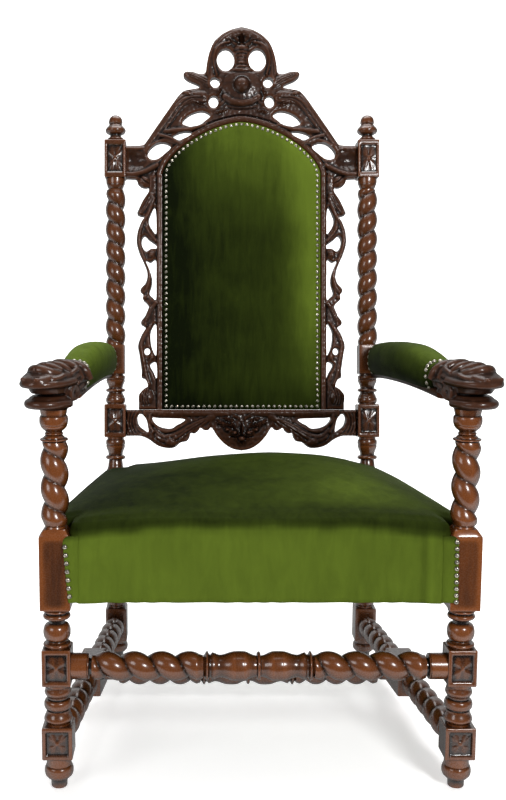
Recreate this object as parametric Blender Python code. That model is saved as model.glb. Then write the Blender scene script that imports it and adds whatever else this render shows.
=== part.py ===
# A carved throne: twist-turned legs and posts, a pierced crest and rail,
# open-mouthed beast heads on the arms, and a velvet seat, back and arm pads.
# Metres, +Z up. The sitter faces -Y. The origin is on the floor, under the middle.

from math import atan2, cos, pi, radians, sin, tau

import bmesh
import bpy
from mathutils import Matrix, Vector

# Clearance between pieces that touch
GAP = 0.0003

# Plan of the frame
FRONT_LEG_SPACING = 0.660
REAR_POST_SPACING = 0.544
SEAT_DEPTH = 0.590

# The back leans from the top of the seat blocks
RAKE = radians(7.4)
SEAT_BLOCK_TOP = 0.413

# Square stock
LEG_STOCK = 0.050
LEG_STRETCHER_STOCK = 0.044
POST_STOCK = 0.046
ARM_BLOCK_STOCK = 0.041

# Front leg, from the floor up
FOOT_HEIGHT = 0.0544
LOW_BLOCK_HEIGHT = 0.0550
LOW_TURNING = 0.0699
STRETCHER_BLOCK_HEIGHT = 0.0616
MID_TURNING = 0.0660
SEAT_BLOCK_HEIGHT = 0.1241
SHOULDER_HEIGHT = 0.0162
CHAMFER_WIDTH = 0.72
CHAMFER_HEIGHT = 0.45
ARM_TWIST_LENGTH = 0.1325
ARM_CUP_HEIGHT = 0.0535
FOOT_RADIUS = 0.0240
LEG_RING_RADIUS = 0.0230
BALL_RADIUS = 0.0222
CUP_RADIUS = 0.0227
LEG_TWIST_RADIUS = 0.0224
LEG_TWIST_GROOVE = 0.0150
LEG_TWIST_TURNS = 3

# Rear post, from the floor up; the part above the seat is measured along the rake
REAR_FOOT_HEIGHT = 0.0415
REAR_LOW_BLOCK_HEIGHT = 0.0735
REAR_SEAT_BLOCK_HEIGHT = 0.110
POST_BELL_LENGTH = 0.077
POST_RAIL_BLOCK_HEIGHT = 0.071
POST_CUP_LENGTH = 0.065
POST_ARM_BLOCK_HEIGHT = 0.063
POST_TWIST_LENGTH = 0.334
POST_NECK_LENGTH = 0.025
POST_TOP_BLOCK_HEIGHT = 0.081
FINIAL_HEIGHT = 0.057
FINIAL_RADIUS = 0.0220
POST_RING_RADIUS = 0.0210
POST_TWIST_RADIUS = 0.0212
POST_TWIST_GROOVE = 0.0150
POST_TWIST_TURNS = 8

# Stretchers
FRONT_STRETCHER_HEIGHT = 0.207
SIDE_STRETCHER_HEIGHT = 0.080
STRETCHER_TWIST_RADIUS = 0.0232
STRETCHER_TWIST_GROOVE = 0.0160
STRETCHER_TWIST_PITCH = 0.0415
STRETCHER_VASE_RADIUS = 0.0235
STRETCHER_VASE_LENGTH = 0.185
STRETCHER_PLAIN_LENGTH = 0.036
STRETCHER_END_RADIUS = 0.0215
SIDE_TWIST_RADIUS = 0.0215
SIDE_TWIST_GROOVE = 0.0150
SIDE_TWIST_PITCH = 0.050
SIDE_END_RADIUS = 0.0150
SIDE_END_LENGTH = 0.028
NECK_LENGTH = 0.004
NECK_SHARE = 0.7
MID_BLOCK_LENGTH = 0.090
MID_BLOCK_WIDTH = 0.048
MID_BLOCK_HEIGHT = 0.064

# Seat frame and its upholstery
RAIL_THICKNESS = 0.025
RAIL_BOTTOM = 0.327
RAIL_HEIGHT = 0.086
RAIL_OUT = 0.017
VELVET = 0.004
SEAT_SKIRT_BOTTOM = 0.321
SEAT_EDGE_HEIGHT = 0.448
SEAT_FALL = 0.021
SEAT_EDGE_ROLL = 0.008
SEAT_INSETS = (0, 0.010, 0.035, 0.085)
# How far the stuffing stands over the edge from front to back, at its highest place
SEAT_CROWN = ((0, 0.015), (0.15, 0.033), (0.3, 0.045), (0.5, 0.054), (0.65, 0.056),
              (0.8, 0.049), (1, 0.031))
# The share of it from the left side to the right, at the back
SEAT_HUMP = ((-1, 0), (-0.62, 0.26), (-0.22, 0.75), (0.2, 1), (0.57, 0.8),
             (0.86, 0.33), (1, 0))
SEAT_FRONT_POWER = 4
SEAT_CROWN_DEPTH = 0.55
SEAT_CROWN_SPREAD = 0.35
STUFFING_BOTTOM = 0.338
CUT_MARGIN = 0.05

# The back, measured along the rake from the seat block tops
CREST_BASE = 0.6435
CREST_HEIGHT = 0.3185
BOARD = 0.026
STILE_FOOT = 0.136
STILE_WIDTH = 0.013
SCROLL_REACH = 0.046
RAIL_FOOT = 0.047
PANEL_HALF_WIDTH = 0.1695
PANEL_ARCH_RISE = 0.117
ARCH_POWER = 1.57
ARCH_STEPS = 10
PANEL_THICKNESS = 0.030
PANEL_CROWN = 0.013
PANEL_ROLL = 0.012
PANEL_FLAT_INSET = 0.070
BOSS_RADIUS = 0.026
BOSS_TALL = 1.1
BOSS_HEIGHT = 0.62
BOSS_SINK = 0.006
MASK_RADIUS = 0.040
MASK_WIDE = 1.3
MASK_DEEP = 0.5
MASK_SINK = 0.004

# Arms
ARM_REAR_OUT = 0.296
ARM_FRONT_IN = 0.024
ARM_FRONT_RISE = 0.0485
ARM_PAD_HALF_WIDTH = 0.028
ARM_PAD_HALF_HEIGHT = 0.036
ARM_PAD_FRONT = 0.084
ARM_BOARD_HALF_WIDTH = 0.018
ARM_BOARD_THICKNESS = 0.014
ARM_STATIONS = (0, 0.25, 0.5, 0.75, 1)

# The beast's head on each arm, which turns outward. Its sections run from the mane to
# the snout: place ahead of the leg's axis in shares of the reach, place out from it and
# half width in shares of the head's half width, top and foot over the cup in shares of
# the head's height, turn in shares of the head's turn, and roundness.
SNOUT_REACH = 0.066
HEAD_HALF_WIDTH = 0.037
HEAD_HEIGHT = 0.081
HEAD_TURN = radians(28)
HEAD = ((-0.68, -0.43, 0.97, 0.988, 0.124, 0.5, 0.7), (-0.12, -0.11, 1.0, 1.0, 0.065, 0.93, 0.7),
        (0.12, 0.11, 0.92, 0.905, 0.337, 1, 0.7), (0.455, 0.35, 0.784, 0.787, 0.408, 1, 0.8),
        (0.758, 0.568, 0.676, 0.68, 0.444, 1, 0.8))
MANE = (0.84, 0.976, 0.148, 0.6)
SNOUT = (0.73, 0.378, 0.609, 0.491, 0.8)
JAW = ((-0.303, -0.324, 0.54, 0.266, 0.124, 0.857, 0.8), (-0.06, -0.054, 0.811, 0.337, 0, 1, 0.7),
       (0.273, 0.216, 0.757, 0.266, 0, 1, 0.7), (0.56, 0.432, 0.595, 0.243, 0.065, 1, 0.8),
       (0.727, 0.568, 0.297, 0.207, 0.124, 1, 0.8))

SIDES = (("left", -1), ("right", 1))


def clear_scene():
    for obj in list(bpy.data.objects):
        bpy.data.objects.remove(obj, do_unlink=True)


def new_collection(name):
    collection = bpy.data.collections.new(name)
    bpy.context.scene.collection.children.link(collection)
    return collection


def finish_material(name, colour, roughness, metallic=0.0):
    material = bpy.data.materials.new(name)
    material.use_nodes = True
    shader = material.node_tree.nodes["Principled BSDF"]
    shader.inputs["Base Color"].default_value = (*colour, 1.0)
    shader.inputs["Roughness"].default_value = roughness
    shader.inputs["Metallic"].default_value = metallic
    material.diffuse_color = (*colour, 1.0)
    return material


def add_mesh_object(name, mesh, material, collection, parent=None):
    obj = bpy.data.objects.new(name, mesh)
    mesh.materials.clear()
    mesh.materials.append(material)
    mesh.shade_smooth()
    mesh.set_sharp_from_angle(angle=radians(32))
    collection.objects.link(obj)
    obj.parent = parent
    return obj


def side_faces(bm, low, high):
    """Close the band between two loops of points, of equal or unequal counts."""
    if len(low) == len(high):
        count = len(low)
        for i in range(count):
            j = (i + 1) % count
            bm.faces.new((low[i], low[j], high[j], high[i]))
        return
    # both loops run the same way and start at the same angle
    i = j = 0
    while i < len(low) or j < len(high):
        low_share = (i + 0.5) / len(low)
        high_share = (j + 0.5) / len(high)
        a = low[i % len(low)]
        b = high[j % len(high)]
        if j >= len(high) or (i < len(low) and low_share <= high_share):
            bm.faces.new((a, low[(i + 1) % len(low)], b))
            i += 1
        else:
            bm.faces.new((a, high[(j + 1) % len(high)], b))
            j += 1


def loft(name, rings):
    """A closed solid through rings of points, with a flat cap at each end."""
    mesh = bpy.data.meshes.new(name)
    bm = bmesh.new()
    loops = [[bm.verts.new(point) for point in ring] for ring in rings]
    for low, high in zip(loops, loops[1:]):
        side_faces(bm, low, high)
    bm.faces.new(list(reversed(loops[0])))
    bm.faces.new(loops[-1])
    bmesh.ops.triangulate(bm, faces=bm.faces[:])
    bmesh.ops.recalc_face_normals(bm, faces=bm.faces[:])
    bm.to_mesh(mesh)
    bm.free()
    return mesh


# A turned piece is a list of stations along its length. Each station is a place and a
# ring of angles with their radii; square stock has four corners.

def round_station(along, radius, sides=8):
    return (along, [(tau * (k + 0.5) / sides, radius) for k in range(sides)])


def square_station(along, width):
    corner = width / 2 * 2 ** 0.5
    return (along, [(tau * (k + 0.5) / 4, corner) for k in range(4)])


def turned(start, length, radius, profile):
    """Round stations from shares of a length and of a radius."""
    return [round_station(start + length * at, radius * share) for at, share in profile]


def block(start, length, width):
    return [square_station(start, width), square_station(start + length, width)]


def twisted(start, length, radius, groove, turns, hand, sides=6):
    """A single strand wound round the axis, with a sharp groove between its turns."""
    count = max(2, round(turns * sides))
    stations = []
    for step in range(count + 1):
        ring = []
        for k in range(sides):
            angle = tau * (k + 0.5) / sides
            phase = angle - hand * tau * step / sides
            ring.append((angle, groove + (radius - groove) * abs(cos(phase / 2))))
        stations.append((start + length * step / count, ring))
    return stations


def turned_mesh(name, stations, place):
    """place(along, angle, radius) gives a station's point."""
    return loft(name, [[place(at, angle, r) for angle, r in ring] for at, ring in stations])


FOOT = ((0, 0.56), (0.25, 0.58), (0.42, 0.98), (0.66, 1.0), (0.90, 0.80))
LOW_TURNS = ((0.04, 0.80), (0.30, 0.66), (0.38, 0.74), (0.45, 0.97),
             (0.64, 1.0), (0.74, 0.70), (0.97, 0.88))
MID_TURNS = ((0.06, 0.88), (0.13, 0.68), (0.25, 0.97), (0.42, 1.0), (0.60, 0.60),
             (0.67, 0.52), (0.75, 0.93), (0.88, 0.96))
SHOULDER = ((0.62, 0.66), (0.80, 0.56), (0.95, 0.70))
ARM_CUP = ((0.02, 0.62), (0.07, 0.96), (0.22, 0.98), (0.30, 0.60), (0.42, 0.64),
           (0.55, 0.90), (0.74, 1.0), (1.0, 0.97))
REAR_LEG_TURNS = ((0.05, 0.62), (0.14, 0.98), (0.24, 0.62), (0.50, 1.0),
                  (0.76, 0.62), (0.86, 0.98), (0.95, 0.62))
POST_BELL = ((0.03, 0.92), (0.36, 0.72), (0.44, 0.98), (0.56, 0.98), (0.64, 0.74),
             (0.85, 1.0))
POST_CUP = ((0.04, 0.98), (0.34, 0.74), (0.42, 0.98), (0.54, 0.98), (0.62, 0.74),
            (0.92, 1.0))
POST_NECK = ((0.08, 0.70), (0.45, 0.78), (0.94, 0.98))
FINIAL = ((0.02, 0.72), (0.24, 0.60), (0.42, 0.98), (0.58, 1.0), (0.70, 0.58),
          (0.82, 0.62), (0.96, 0.42), (1.0, 0.2))
VASE = ((0, 0.66), (0.05, 1.0), (0.10, 0.90), (0.15, 0.60), (0.33, 1.0), (0.46, 0.72))


def vase(start, length, radius):
    """Two baluster bulbs, foot to foot, with a ring between them."""
    ring = ((0.485, 0.86), (0.515, 0.86))
    mirrored = tuple((1 - at, share) for at, share in reversed(VASE))
    return turned(start, length, radius, VASE + ring + mirrored)


def front_leg_stations():
    stations = turned(0, FOOT_HEIGHT, FOOT_RADIUS, FOOT)
    z = FOOT_HEIGHT
    stations += block(z, LOW_BLOCK_HEIGHT, LEG_STOCK)
    z += LOW_BLOCK_HEIGHT
    stations += turned(z, LOW_TURNING, LEG_RING_RADIUS, LOW_TURNS)
    z += LOW_TURNING
    stations += block(z, STRETCHER_BLOCK_HEIGHT, LEG_STRETCHER_STOCK)
    z += STRETCHER_BLOCK_HEIGHT
    stations += turned(z, MID_TURNING, BALL_RADIUS, MID_TURNS)
    z += MID_TURNING
    stations += block(z, SEAT_BLOCK_HEIGHT, LEG_STOCK)
    z += SEAT_BLOCK_HEIGHT
    stations.append(square_station(z + SHOULDER_HEIGHT * CHAMFER_HEIGHT,
                                   LEG_STOCK * CHAMFER_WIDTH))
    stations += turned(z, SHOULDER_HEIGHT, LEG_TWIST_RADIUS, SHOULDER)
    z += SHOULDER_HEIGHT
    stations += twisted(z, ARM_TWIST_LENGTH, LEG_TWIST_RADIUS, LEG_TWIST_GROOVE,
                        LEG_TWIST_TURNS, -1)
    z += ARM_TWIST_LENGTH
    stations += turned(z, ARM_CUP_HEIGHT, CUP_RADIUS, ARM_CUP)
    return stations


def arm_support_top():
    return (FOOT_HEIGHT + LOW_BLOCK_HEIGHT + LOW_TURNING + STRETCHER_BLOCK_HEIGHT
            + MID_TURNING + SEAT_BLOCK_HEIGHT + SHOULDER_HEIGHT + ARM_TWIST_LENGTH
            + ARM_CUP_HEIGHT)


def rear_post_stations(hand):
    stations = turned(0, REAR_FOOT_HEIGHT, FOOT_RADIUS, FOOT)
    z = REAR_FOOT_HEIGHT
    stations += block(z, REAR_LOW_BLOCK_HEIGHT, POST_STOCK)
    z += REAR_LOW_BLOCK_HEIGHT
    seat_block = SEAT_BLOCK_TOP - REAR_SEAT_BLOCK_HEIGHT
    stations += turned(z, seat_block - z, POST_RING_RADIUS, REAR_LEG_TURNS)
    stations += block(seat_block, REAR_SEAT_BLOCK_HEIGHT, POST_STOCK)
    z = SEAT_BLOCK_TOP
    stations += turned(z, POST_BELL_LENGTH, POST_RING_RADIUS, POST_BELL)
    z += POST_BELL_LENGTH
    stations += block(z, POST_RAIL_BLOCK_HEIGHT, POST_STOCK)
    z += POST_RAIL_BLOCK_HEIGHT
    stations += turned(z, POST_CUP_LENGTH, POST_RING_RADIUS, POST_CUP)
    z += POST_CUP_LENGTH
    stations += block(z, POST_ARM_BLOCK_HEIGHT, ARM_BLOCK_STOCK)
    z += POST_ARM_BLOCK_HEIGHT + NECK_LENGTH
    twist = POST_TWIST_LENGTH - NECK_LENGTH
    stations += twisted(z, twist, POST_TWIST_RADIUS, POST_TWIST_GROOVE, POST_TWIST_TURNS, hand)
    z += twist
    stations += turned(z, POST_NECK_LENGTH, POST_RING_RADIUS, POST_NECK)
    z += POST_NECK_LENGTH
    stations += block(z, POST_TOP_BLOCK_HEIGHT, POST_STOCK)
    z += POST_TOP_BLOCK_HEIGHT
    stations += turned(z, FINIAL_HEIGHT, FINIAL_RADIUS, FINIAL)
    return stations


def upright(x, y):
    def place(along, angle, radius):
        return Vector((x + radius * cos(angle), y + radius * sin(angle), along))
    return place


def raked(x, y):
    """Upright to the seat blocks' top and leaning back above it."""
    def place(along, angle, radius):
        across = radius * sin(angle)
        if along <= SEAT_BLOCK_TOP:
            return Vector((x + radius * cos(angle), y + across, along))
        up = along - SEAT_BLOCK_TOP
        return Vector((x + radius * cos(angle),
                       y + up * sin(RAKE) + across * cos(RAKE),
                       SEAT_BLOCK_TOP + up * cos(RAKE) - across * sin(RAKE)))
    return place


def crosswise(y, z):
    """Along X, with angle 0 at the front and the angle turning upward."""
    def place(along, angle, radius):
        return Vector((along, y - radius * cos(angle), z + radius * sin(angle)))
    return place


def leg_line(y):
    """How far out the line from front leg to rear post runs, at a depth."""
    share = y / SEAT_DEPTH
    return FRONT_LEG_SPACING / 2 * (1 - share) + REAR_POST_SPACING / 2 * share


def lengthwise(side, z):
    """Along Y on the line from front leg to rear post; ends are square to Y."""
    def place(along, angle, radius):
        return Vector((side * leg_line(along) + side * radius * sin(angle), along,
                       z + radius * cos(angle)))
    return place


def add_legs_and_posts(wood, collection, parent):
    for name, side in SIDES:
        leg = turned_mesh("leg", front_leg_stations(),
                          upright(side * FRONT_LEG_SPACING / 2, 0))
        add_mesh_object("front_leg_" + name, leg, wood, collection, parent)
        post = turned_mesh("post", rear_post_stations(side),
                           raked(side * REAR_POST_SPACING / 2, SEAT_DEPTH))
        add_mesh_object("rear_post_" + name, post, wood, collection, parent)


def cross_rail_stations(half_span, plain, end_radius):
    """A stretcher along X: plain ends, a twist each side, and a double vase."""
    vase_half = STRETCHER_VASE_LENGTH / 2
    twist = half_span - plain - vase_half
    turns = max(1, round(twist / STRETCHER_TWIST_PITCH))
    neck = NECK_LENGTH
    end = [round_station(-half_span, end_radius),
           round_station(-half_span + plain - 2 * neck, end_radius),
           round_station(-half_span + plain - neck, end_radius * NECK_SHARE)]
    stations = list(end)
    stations += twisted(-half_span + plain, twist, STRETCHER_TWIST_RADIUS,
                        STRETCHER_TWIST_GROOVE, turns, -1)
    stations += vase(-vase_half + neck, 2 * (vase_half - neck), STRETCHER_VASE_RADIUS)
    stations += twisted(vase_half, twist, STRETCHER_TWIST_RADIUS, STRETCHER_TWIST_GROOVE,
                        turns, -1)
    stations += [(-at, ring) for at, ring in reversed(end)]
    return stations


def add_stretchers(wood, collection, parent):
    half = (FRONT_LEG_SPACING - LEG_STRETCHER_STOCK) / 2 - GAP
    mesh = turned_mesh("stretcher",
                       cross_rail_stations(half, STRETCHER_PLAIN_LENGTH, STRETCHER_END_RADIUS),
                       crosswise(0, FRONT_STRETCHER_HEIGHT))
    add_mesh_object("front_stretcher", mesh, wood, collection, parent)

    front = LEG_STOCK / 2 + GAP
    rear = SEAT_DEPTH - POST_STOCK / 2 - GAP
    middle = (front + rear) / 2
    twist = (rear - front - MID_BLOCK_LENGTH) / 2 - SIDE_END_LENGTH
    turns = max(1, round(twist / SIDE_TWIST_PITCH))
    half_end = SIDE_END_LENGTH / 2
    for name, side in SIDES:
        run = [round_station(front, SIDE_END_RADIUS),
               round_station(front + half_end, SIDE_END_RADIUS)]
        run += twisted(front + half_end, twist, SIDE_TWIST_RADIUS, SIDE_TWIST_GROOVE,
                       turns, 1)
        run += [round_station(front + half_end + twist, SIDE_END_RADIUS),
                round_station(middle - MID_BLOCK_LENGTH / 2, SIDE_END_RADIUS)]
        corner = [(atan2(b, a), (a * a + b * b) ** 0.5)
                  for a, b in ((MID_BLOCK_HEIGHT / 2, MID_BLOCK_WIDTH / 2),
                               (-MID_BLOCK_HEIGHT / 2, MID_BLOCK_WIDTH / 2),
                               (-MID_BLOCK_HEIGHT / 2, -MID_BLOCK_WIDTH / 2),
                               (MID_BLOCK_HEIGHT / 2, -MID_BLOCK_WIDTH / 2))]
        run += [(middle - MID_BLOCK_LENGTH / 2, corner), (middle + MID_BLOCK_LENGTH / 2, corner)]
        run += [round_station(middle + MID_BLOCK_LENGTH / 2, SIDE_END_RADIUS),
                round_station(rear - half_end - twist, SIDE_END_RADIUS)]
        run += twisted(rear - half_end - twist, twist, SIDE_TWIST_RADIUS,
                       SIDE_TWIST_GROOVE, turns, 1)
        run += [round_station(rear - half_end, SIDE_END_RADIUS),
                round_station(rear, SIDE_END_RADIUS)]
        mesh = turned_mesh("stretcher", run, lengthwise(side, SIDE_STRETCHER_HEIGHT))
        add_mesh_object("side_stretcher_" + name, mesh, wood, collection, parent)

    slope = (FRONT_LEG_SPACING - REAR_POST_SPACING) / 2 / SEAT_DEPTH
    half = leg_line(middle) - MID_BLOCK_WIDTH / 2 - SIDE_END_RADIUS * slope - GAP
    mesh = turned_mesh("stretcher", cross_rail_stations(half, SIDE_END_LENGTH, SIDE_END_RADIUS),
                       crosswise(middle, SIDE_STRETCHER_HEIGHT))
    add_mesh_object("cross_stretcher", mesh, wood, collection, parent)


def prism_mesh(name, outline, holes, bottom, top):
    """A flat outline with holes, from one height to another."""
    curve = bpy.data.curves.new(name, "CURVE")
    curve.dimensions = "2D"
    curve.fill_mode = "BOTH"
    curve.extrude = (top - bottom) / 2
    for loop in [outline] + holes:
        spline = curve.splines.new("POLY")
        spline.points.add(len(loop) - 1)
        for point, (x, y) in zip(spline.points, loop):
            point.co = (x, y, 0, 1)
        spline.use_cyclic_u = True
    holder = bpy.data.objects.new(name, curve)
    bpy.context.scene.collection.objects.link(holder)
    graph = bpy.context.evaluated_depsgraph_get()
    mesh = bpy.data.meshes.new_from_object(holder.evaluated_get(graph))
    bpy.data.objects.remove(holder, do_unlink=True)
    mesh.transform(Matrix.Translation((0, 0, (top + bottom) / 2)))
    bm = bmesh.new()
    bm.from_mesh(mesh)
    bmesh.ops.remove_doubles(bm, verts=bm.verts[:], dist=0.00001)
    bmesh.ops.triangulate(bm, faces=bm.faces[:])
    bmesh.ops.recalc_face_normals(bm, faces=bm.faces[:])
    bm.to_mesh(mesh)
    bm.free()
    return mesh


def boolean(obj, other, operation):
    """Join or cut with one of the hidden tools."""
    modifier = obj.modifiers.new(operation.title(), "BOOLEAN")
    modifier.operation = operation
    modifier.solver = "EXACT"
    modifier.object = other


def add_tool(name, mesh, tools, parent):
    obj = bpy.data.objects.new(name, mesh)
    obj.hide_render = True
    obj.display_type = "WIRE"
    tools.objects.link(obj)
    obj.parent = parent
    return obj


def seat_line(y, out):
    return leg_line(y) + out


def rail_corners(out_front, out_side, out_back):
    """The four corners of the seat frame's outer line, pushed out by three amounts."""
    front = -out_front
    back = SEAT_DEPTH + out_back
    return [(-seat_line(front, out_side), front), (seat_line(front, out_side), front),
            (seat_line(back, out_side), back), (-seat_line(back, out_side), back)]


def add_seat(wood, velvet, collection, tools, parent):
    half = LEG_STOCK / 2 + GAP
    post_half = POST_STOCK / 2 + GAP
    inside = RAIL_OUT - RAIL_THICKNESS
    top = RAIL_BOTTOM + RAIL_HEIGHT
    leg_x = FRONT_LEG_SPACING / 2
    post_x = REAR_POST_SPACING / 2

    front_x = leg_x - half
    front = [(-front_x, -RAIL_OUT), (front_x, -RAIL_OUT), (front_x, -inside), (-front_x, -inside)]
    mesh = prism_mesh("rail", front, [], RAIL_BOTTOM, top)
    add_mesh_object("seat_rail_front", mesh, wood, collection, parent)

    back_x = post_x - post_half
    back = [(-back_x, SEAT_DEPTH + inside), (back_x, SEAT_DEPTH + inside),
            (back_x, SEAT_DEPTH + RAIL_OUT), (-back_x, SEAT_DEPTH + RAIL_OUT)]
    mesh = prism_mesh("rail", back, [], RAIL_BOTTOM, top)
    add_mesh_object("seat_rail_back", mesh, wood, collection, parent)

    near = half
    far = SEAT_DEPTH - post_half
    for name, side in SIDES:
        flank = [(side * seat_line(near, RAIL_OUT), near), (side * seat_line(far, RAIL_OUT), far),
                 (side * seat_line(far, inside), far), (side * seat_line(near, inside), near)]
        mesh = prism_mesh("rail", flank, [], RAIL_BOTTOM, top)
        add_mesh_object("seat_rail_" + name, mesh, wood, collection, parent)

    add_seat_upholstery(velvet, collection, tools, parent)


def seat_outline(inset):
    """The upholstery's plan, notched round the legs and posts, drawn in by an inset."""
    half = LEG_STOCK / 2 + GAP + inset
    post_half = POST_STOCK / 2 + GAP + inset
    out = RAIL_OUT + VELVET - inset
    leg_x = FRONT_LEG_SPACING / 2
    post_x = REAR_POST_SPACING / 2
    far = SEAT_DEPTH - post_half
    right = [(leg_x - half, -out), (leg_x - half, half), (seat_line(half, out), half),
             (seat_line(SEAT_DEPTH / 2, out), SEAT_DEPTH / 2),
             (seat_line(far, out), far), (post_x - post_half, far),
             (post_x - post_half, SEAT_DEPTH + out)]
    left = [(-x, y) for x, y in reversed(right)]
    return [(0, -out)] + right + [(0, SEAT_DEPTH + out)] + left


def seat_edge(y):
    """The height of the seat's rounded edge, which falls towards the back."""
    return SEAT_EDGE_HEIGHT - SEAT_FALL * y / SEAT_DEPTH


def between(table, at):
    """The value at a place in a table of (place, value) rows."""
    at = min(max(at, table[0][0]), table[-1][0])
    for (low, first), (high, second) in zip(table, table[1:]):
        if at <= high:
            return first + (second - first) * (at - low) / (high - low)
    return table[-1][1]


def seat_top(x, y):
    """The height of the stuffed seat, a dome that is fullest right of its middle."""
    depth = min(max(y / SEAT_DEPTH, 0), 1)
    across = max(-1.0, min(1.0, x / seat_line(y, RAIL_OUT + VELVET)))
    front = 1 - abs(across) ** SEAT_FRONT_POWER
    share = front * (1 - depth) + between(SEAT_HUMP, across) * depth
    return seat_edge(y) + between(SEAT_CROWN, depth) * share


def add_seat_upholstery(velvet, collection, tools, parent):
    """A stuffed seat whose velvet turns down over the rails to their lower edges."""
    centre = Vector((0, SEAT_DEPTH * SEAT_CROWN_DEPTH))
    rings = [[Vector((x, y, SEAT_SKIRT_BOTTOM)) for x, y in seat_outline(0)]]
    for inset in SEAT_INSETS:
        roll = 0 if inset else SEAT_EDGE_ROLL
        rings.append([Vector((x, y, seat_top(x, y) - roll)) for x, y in seat_outline(inset)])
    middle = []
    for point in rings[-1]:
        pulled = centre + (Vector(point[:2]) - centre) * SEAT_CROWN_SPREAD
        middle.append(Vector((pulled.x, pulled.y, seat_top(pulled.x, pulled.y))))
    rings.append(middle)
    seat = add_mesh_object("seat_upholstery", loft("seat", rings), velvet, collection, parent)

    reach = RAIL_OUT + GAP
    outer = rail_corners(reach, reach, reach)
    inward = RAIL_THICKNESS - RAIL_OUT + GAP
    inner = rail_corners(-inward, -inward, -inward)
    low = SEAT_SKIRT_BOTTOM - CUT_MARGIN
    slot = prism_mesh("slot", outer, [inner], low, RAIL_BOTTOM + RAIL_HEIGHT + GAP)
    boolean(seat, add_tool("rail_slot", slot, tools, parent), "DIFFERENCE")
    under = prism_mesh("under", outer, [], low - GAP, STUFFING_BOTTOM)
    boolean(seat, add_tool("webbing_space", under, tools, parent), "DIFFERENCE")


# Outlines on the back are drawn on the right half, in shares of a width and a height

def scaled(points, width, height, base=0.0, start=0.0, side=1):
    return [(side * (start + x * width), base + y * height) for x, y in points]


def ellipse(centre, half_width, half_height, count):
    return [(centre[0] + half_width * cos(tau * k / count),
             centre[1] + half_height * sin(tau * k / count)) for k in range(count)]


CREST_EDGE = ((0.12, 0.975), (0.21, 0.93), (0.265, 0.88), (0.295, 0.81), (0.308, 0.73),
              (0.318, 0.685), (0.335, 0.645), (0.40, 0.68), (0.48, 0.70), (0.535, 0.69),
              (0.545, 0.665), (0.52, 0.64), (0.40, 0.60), (0.45, 0.587), (0.526, 0.572),
              (0.562, 0.542), (0.602, 0.482), (0.667, 0.41), (0.731, 0.333), (0.795, 0.264),
              (0.827, 0.222), (1.0, 0.208), (1.0, 0.0))
CREST_HOLES = (((0.29, 0.405), (0.357, 0.446), (0.454, 0.42), (0.53, 0.345), (0.474, 0.317),
                (0.38, 0.317)),
               ((0.446, 0.288), (0.542, 0.29), (0.615, 0.262), (0.52, 0.238)),
               ((0.602, 0.188), (0.675, 0.222), (0.735, 0.213), (0.803, 0.153),
                (0.775, 0.119), (0.707, 0.134)))
CREST_OVALS = (((0.141, 0.780), 0.078, 0.079, 8), ((0.233, 0.623), 0.043, 0.034, 6),
               ((0.243, 0.496), 0.040, 0.040, 6))
SCROLL_EDGE = ((0.0, 0.0), (0.35, 0.02), (0.80, 0.03), (0.85, 0.06), (0.61, 0.09),
               (0.43, 0.10), (0.48, 0.13), (0.72, 0.135), (0.72, 0.165), (0.78, 0.20),
               (0.91, 0.245), (0.85, 0.275), (0.76, 0.31), (0.54, 0.343), (0.76, 0.362),
               (0.76, 0.378), (0.57, 0.405), (0.46, 0.435), (0.44, 0.448), (0.67, 0.466),
               (0.50, 0.487), (0.65, 0.493), (0.78, 0.503), (0.76, 0.522), (0.56, 0.542),
               (0.46, 0.575), (0.50, 0.596), (0.65, 0.63), (0.85, 0.67), (0.98, 0.71),
               (0.96, 0.75), (0.80, 0.793), (0.63, 0.818), (0.96, 0.835), (0.89, 0.855),
               (0.65, 0.897), (0.41, 0.933), (0.39, 0.952), (0.57, 0.952), (0.85, 0.964),
               (1.02, 0.998), (0.0, 0.998))
SCROLL_HOLES = (((0.02, 0.125), (0.36, 0.19), (0.15, 0.157)),
                ((0.04, 0.238), (0.15, 0.238), (0.33, 0.29), (0.33, 0.34), (0.10, 0.363)),
                ((0.03, 0.468), (0.43, 0.495), (0.28, 0.528), (0.35, 0.59), (0.54, 0.635),
                 (0.03, 0.637)),
                ((0.04, 0.69), (0.28, 0.69), (0.54, 0.678), (0.74, 0.70), (0.76, 0.725),
                 (0.58, 0.742), (0.39, 0.727), (0.02, 0.70)),
                ((0.03, 0.755), (0.20, 0.768), (0.39, 0.795), (0.39, 0.823), (0.13, 0.857),
                 (0.03, 0.80)))
RAIL_EDGE = ((0.012, 0.0), (0.076, 0.03), (0.149, 0.14), (0.209, 0.32), (0.257, 0.465),
             (0.305, 0.43), (0.349, 0.49), (0.398, 0.37), (0.43, 0.38), (0.466, 0.21),
             (0.518, 0.19), (0.574, 0.06), (0.663, 0.06), (0.731, 0.12), (0.803, 0.25),
             (0.876, 0.32), (1.0, 0.32))
RAIL_HOLES = (((0.892, 0.79), (0.904, 0.69), (0.884, 0.52), (0.811, 0.40), (0.819, 0.67),
               (0.863, 0.73)),
              ((0.775, 0.72), (0.482, 0.68), (0.554, 0.56), (0.606, 0.47), (0.687, 0.49),
               (0.767, 0.63)))


def arch(inset=0.0):
    """The panel's head, from its right spring over the top to its left spring."""
    half = PANEL_HALF_WIDTH - inset
    rise = PANEL_ARCH_RISE - inset
    points = []
    for k in range(ARCH_STEPS + 1):
        angle = pi * k / ARCH_STEPS
        c = cos(angle)
        x = half * (abs(c) ** (2 / ARCH_POWER)) * (1 if c >= 0 else -1)
        points.append((x, CREST_BASE + rise * abs(sin(angle)) ** (2 / ARCH_POWER)))
    return points


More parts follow.
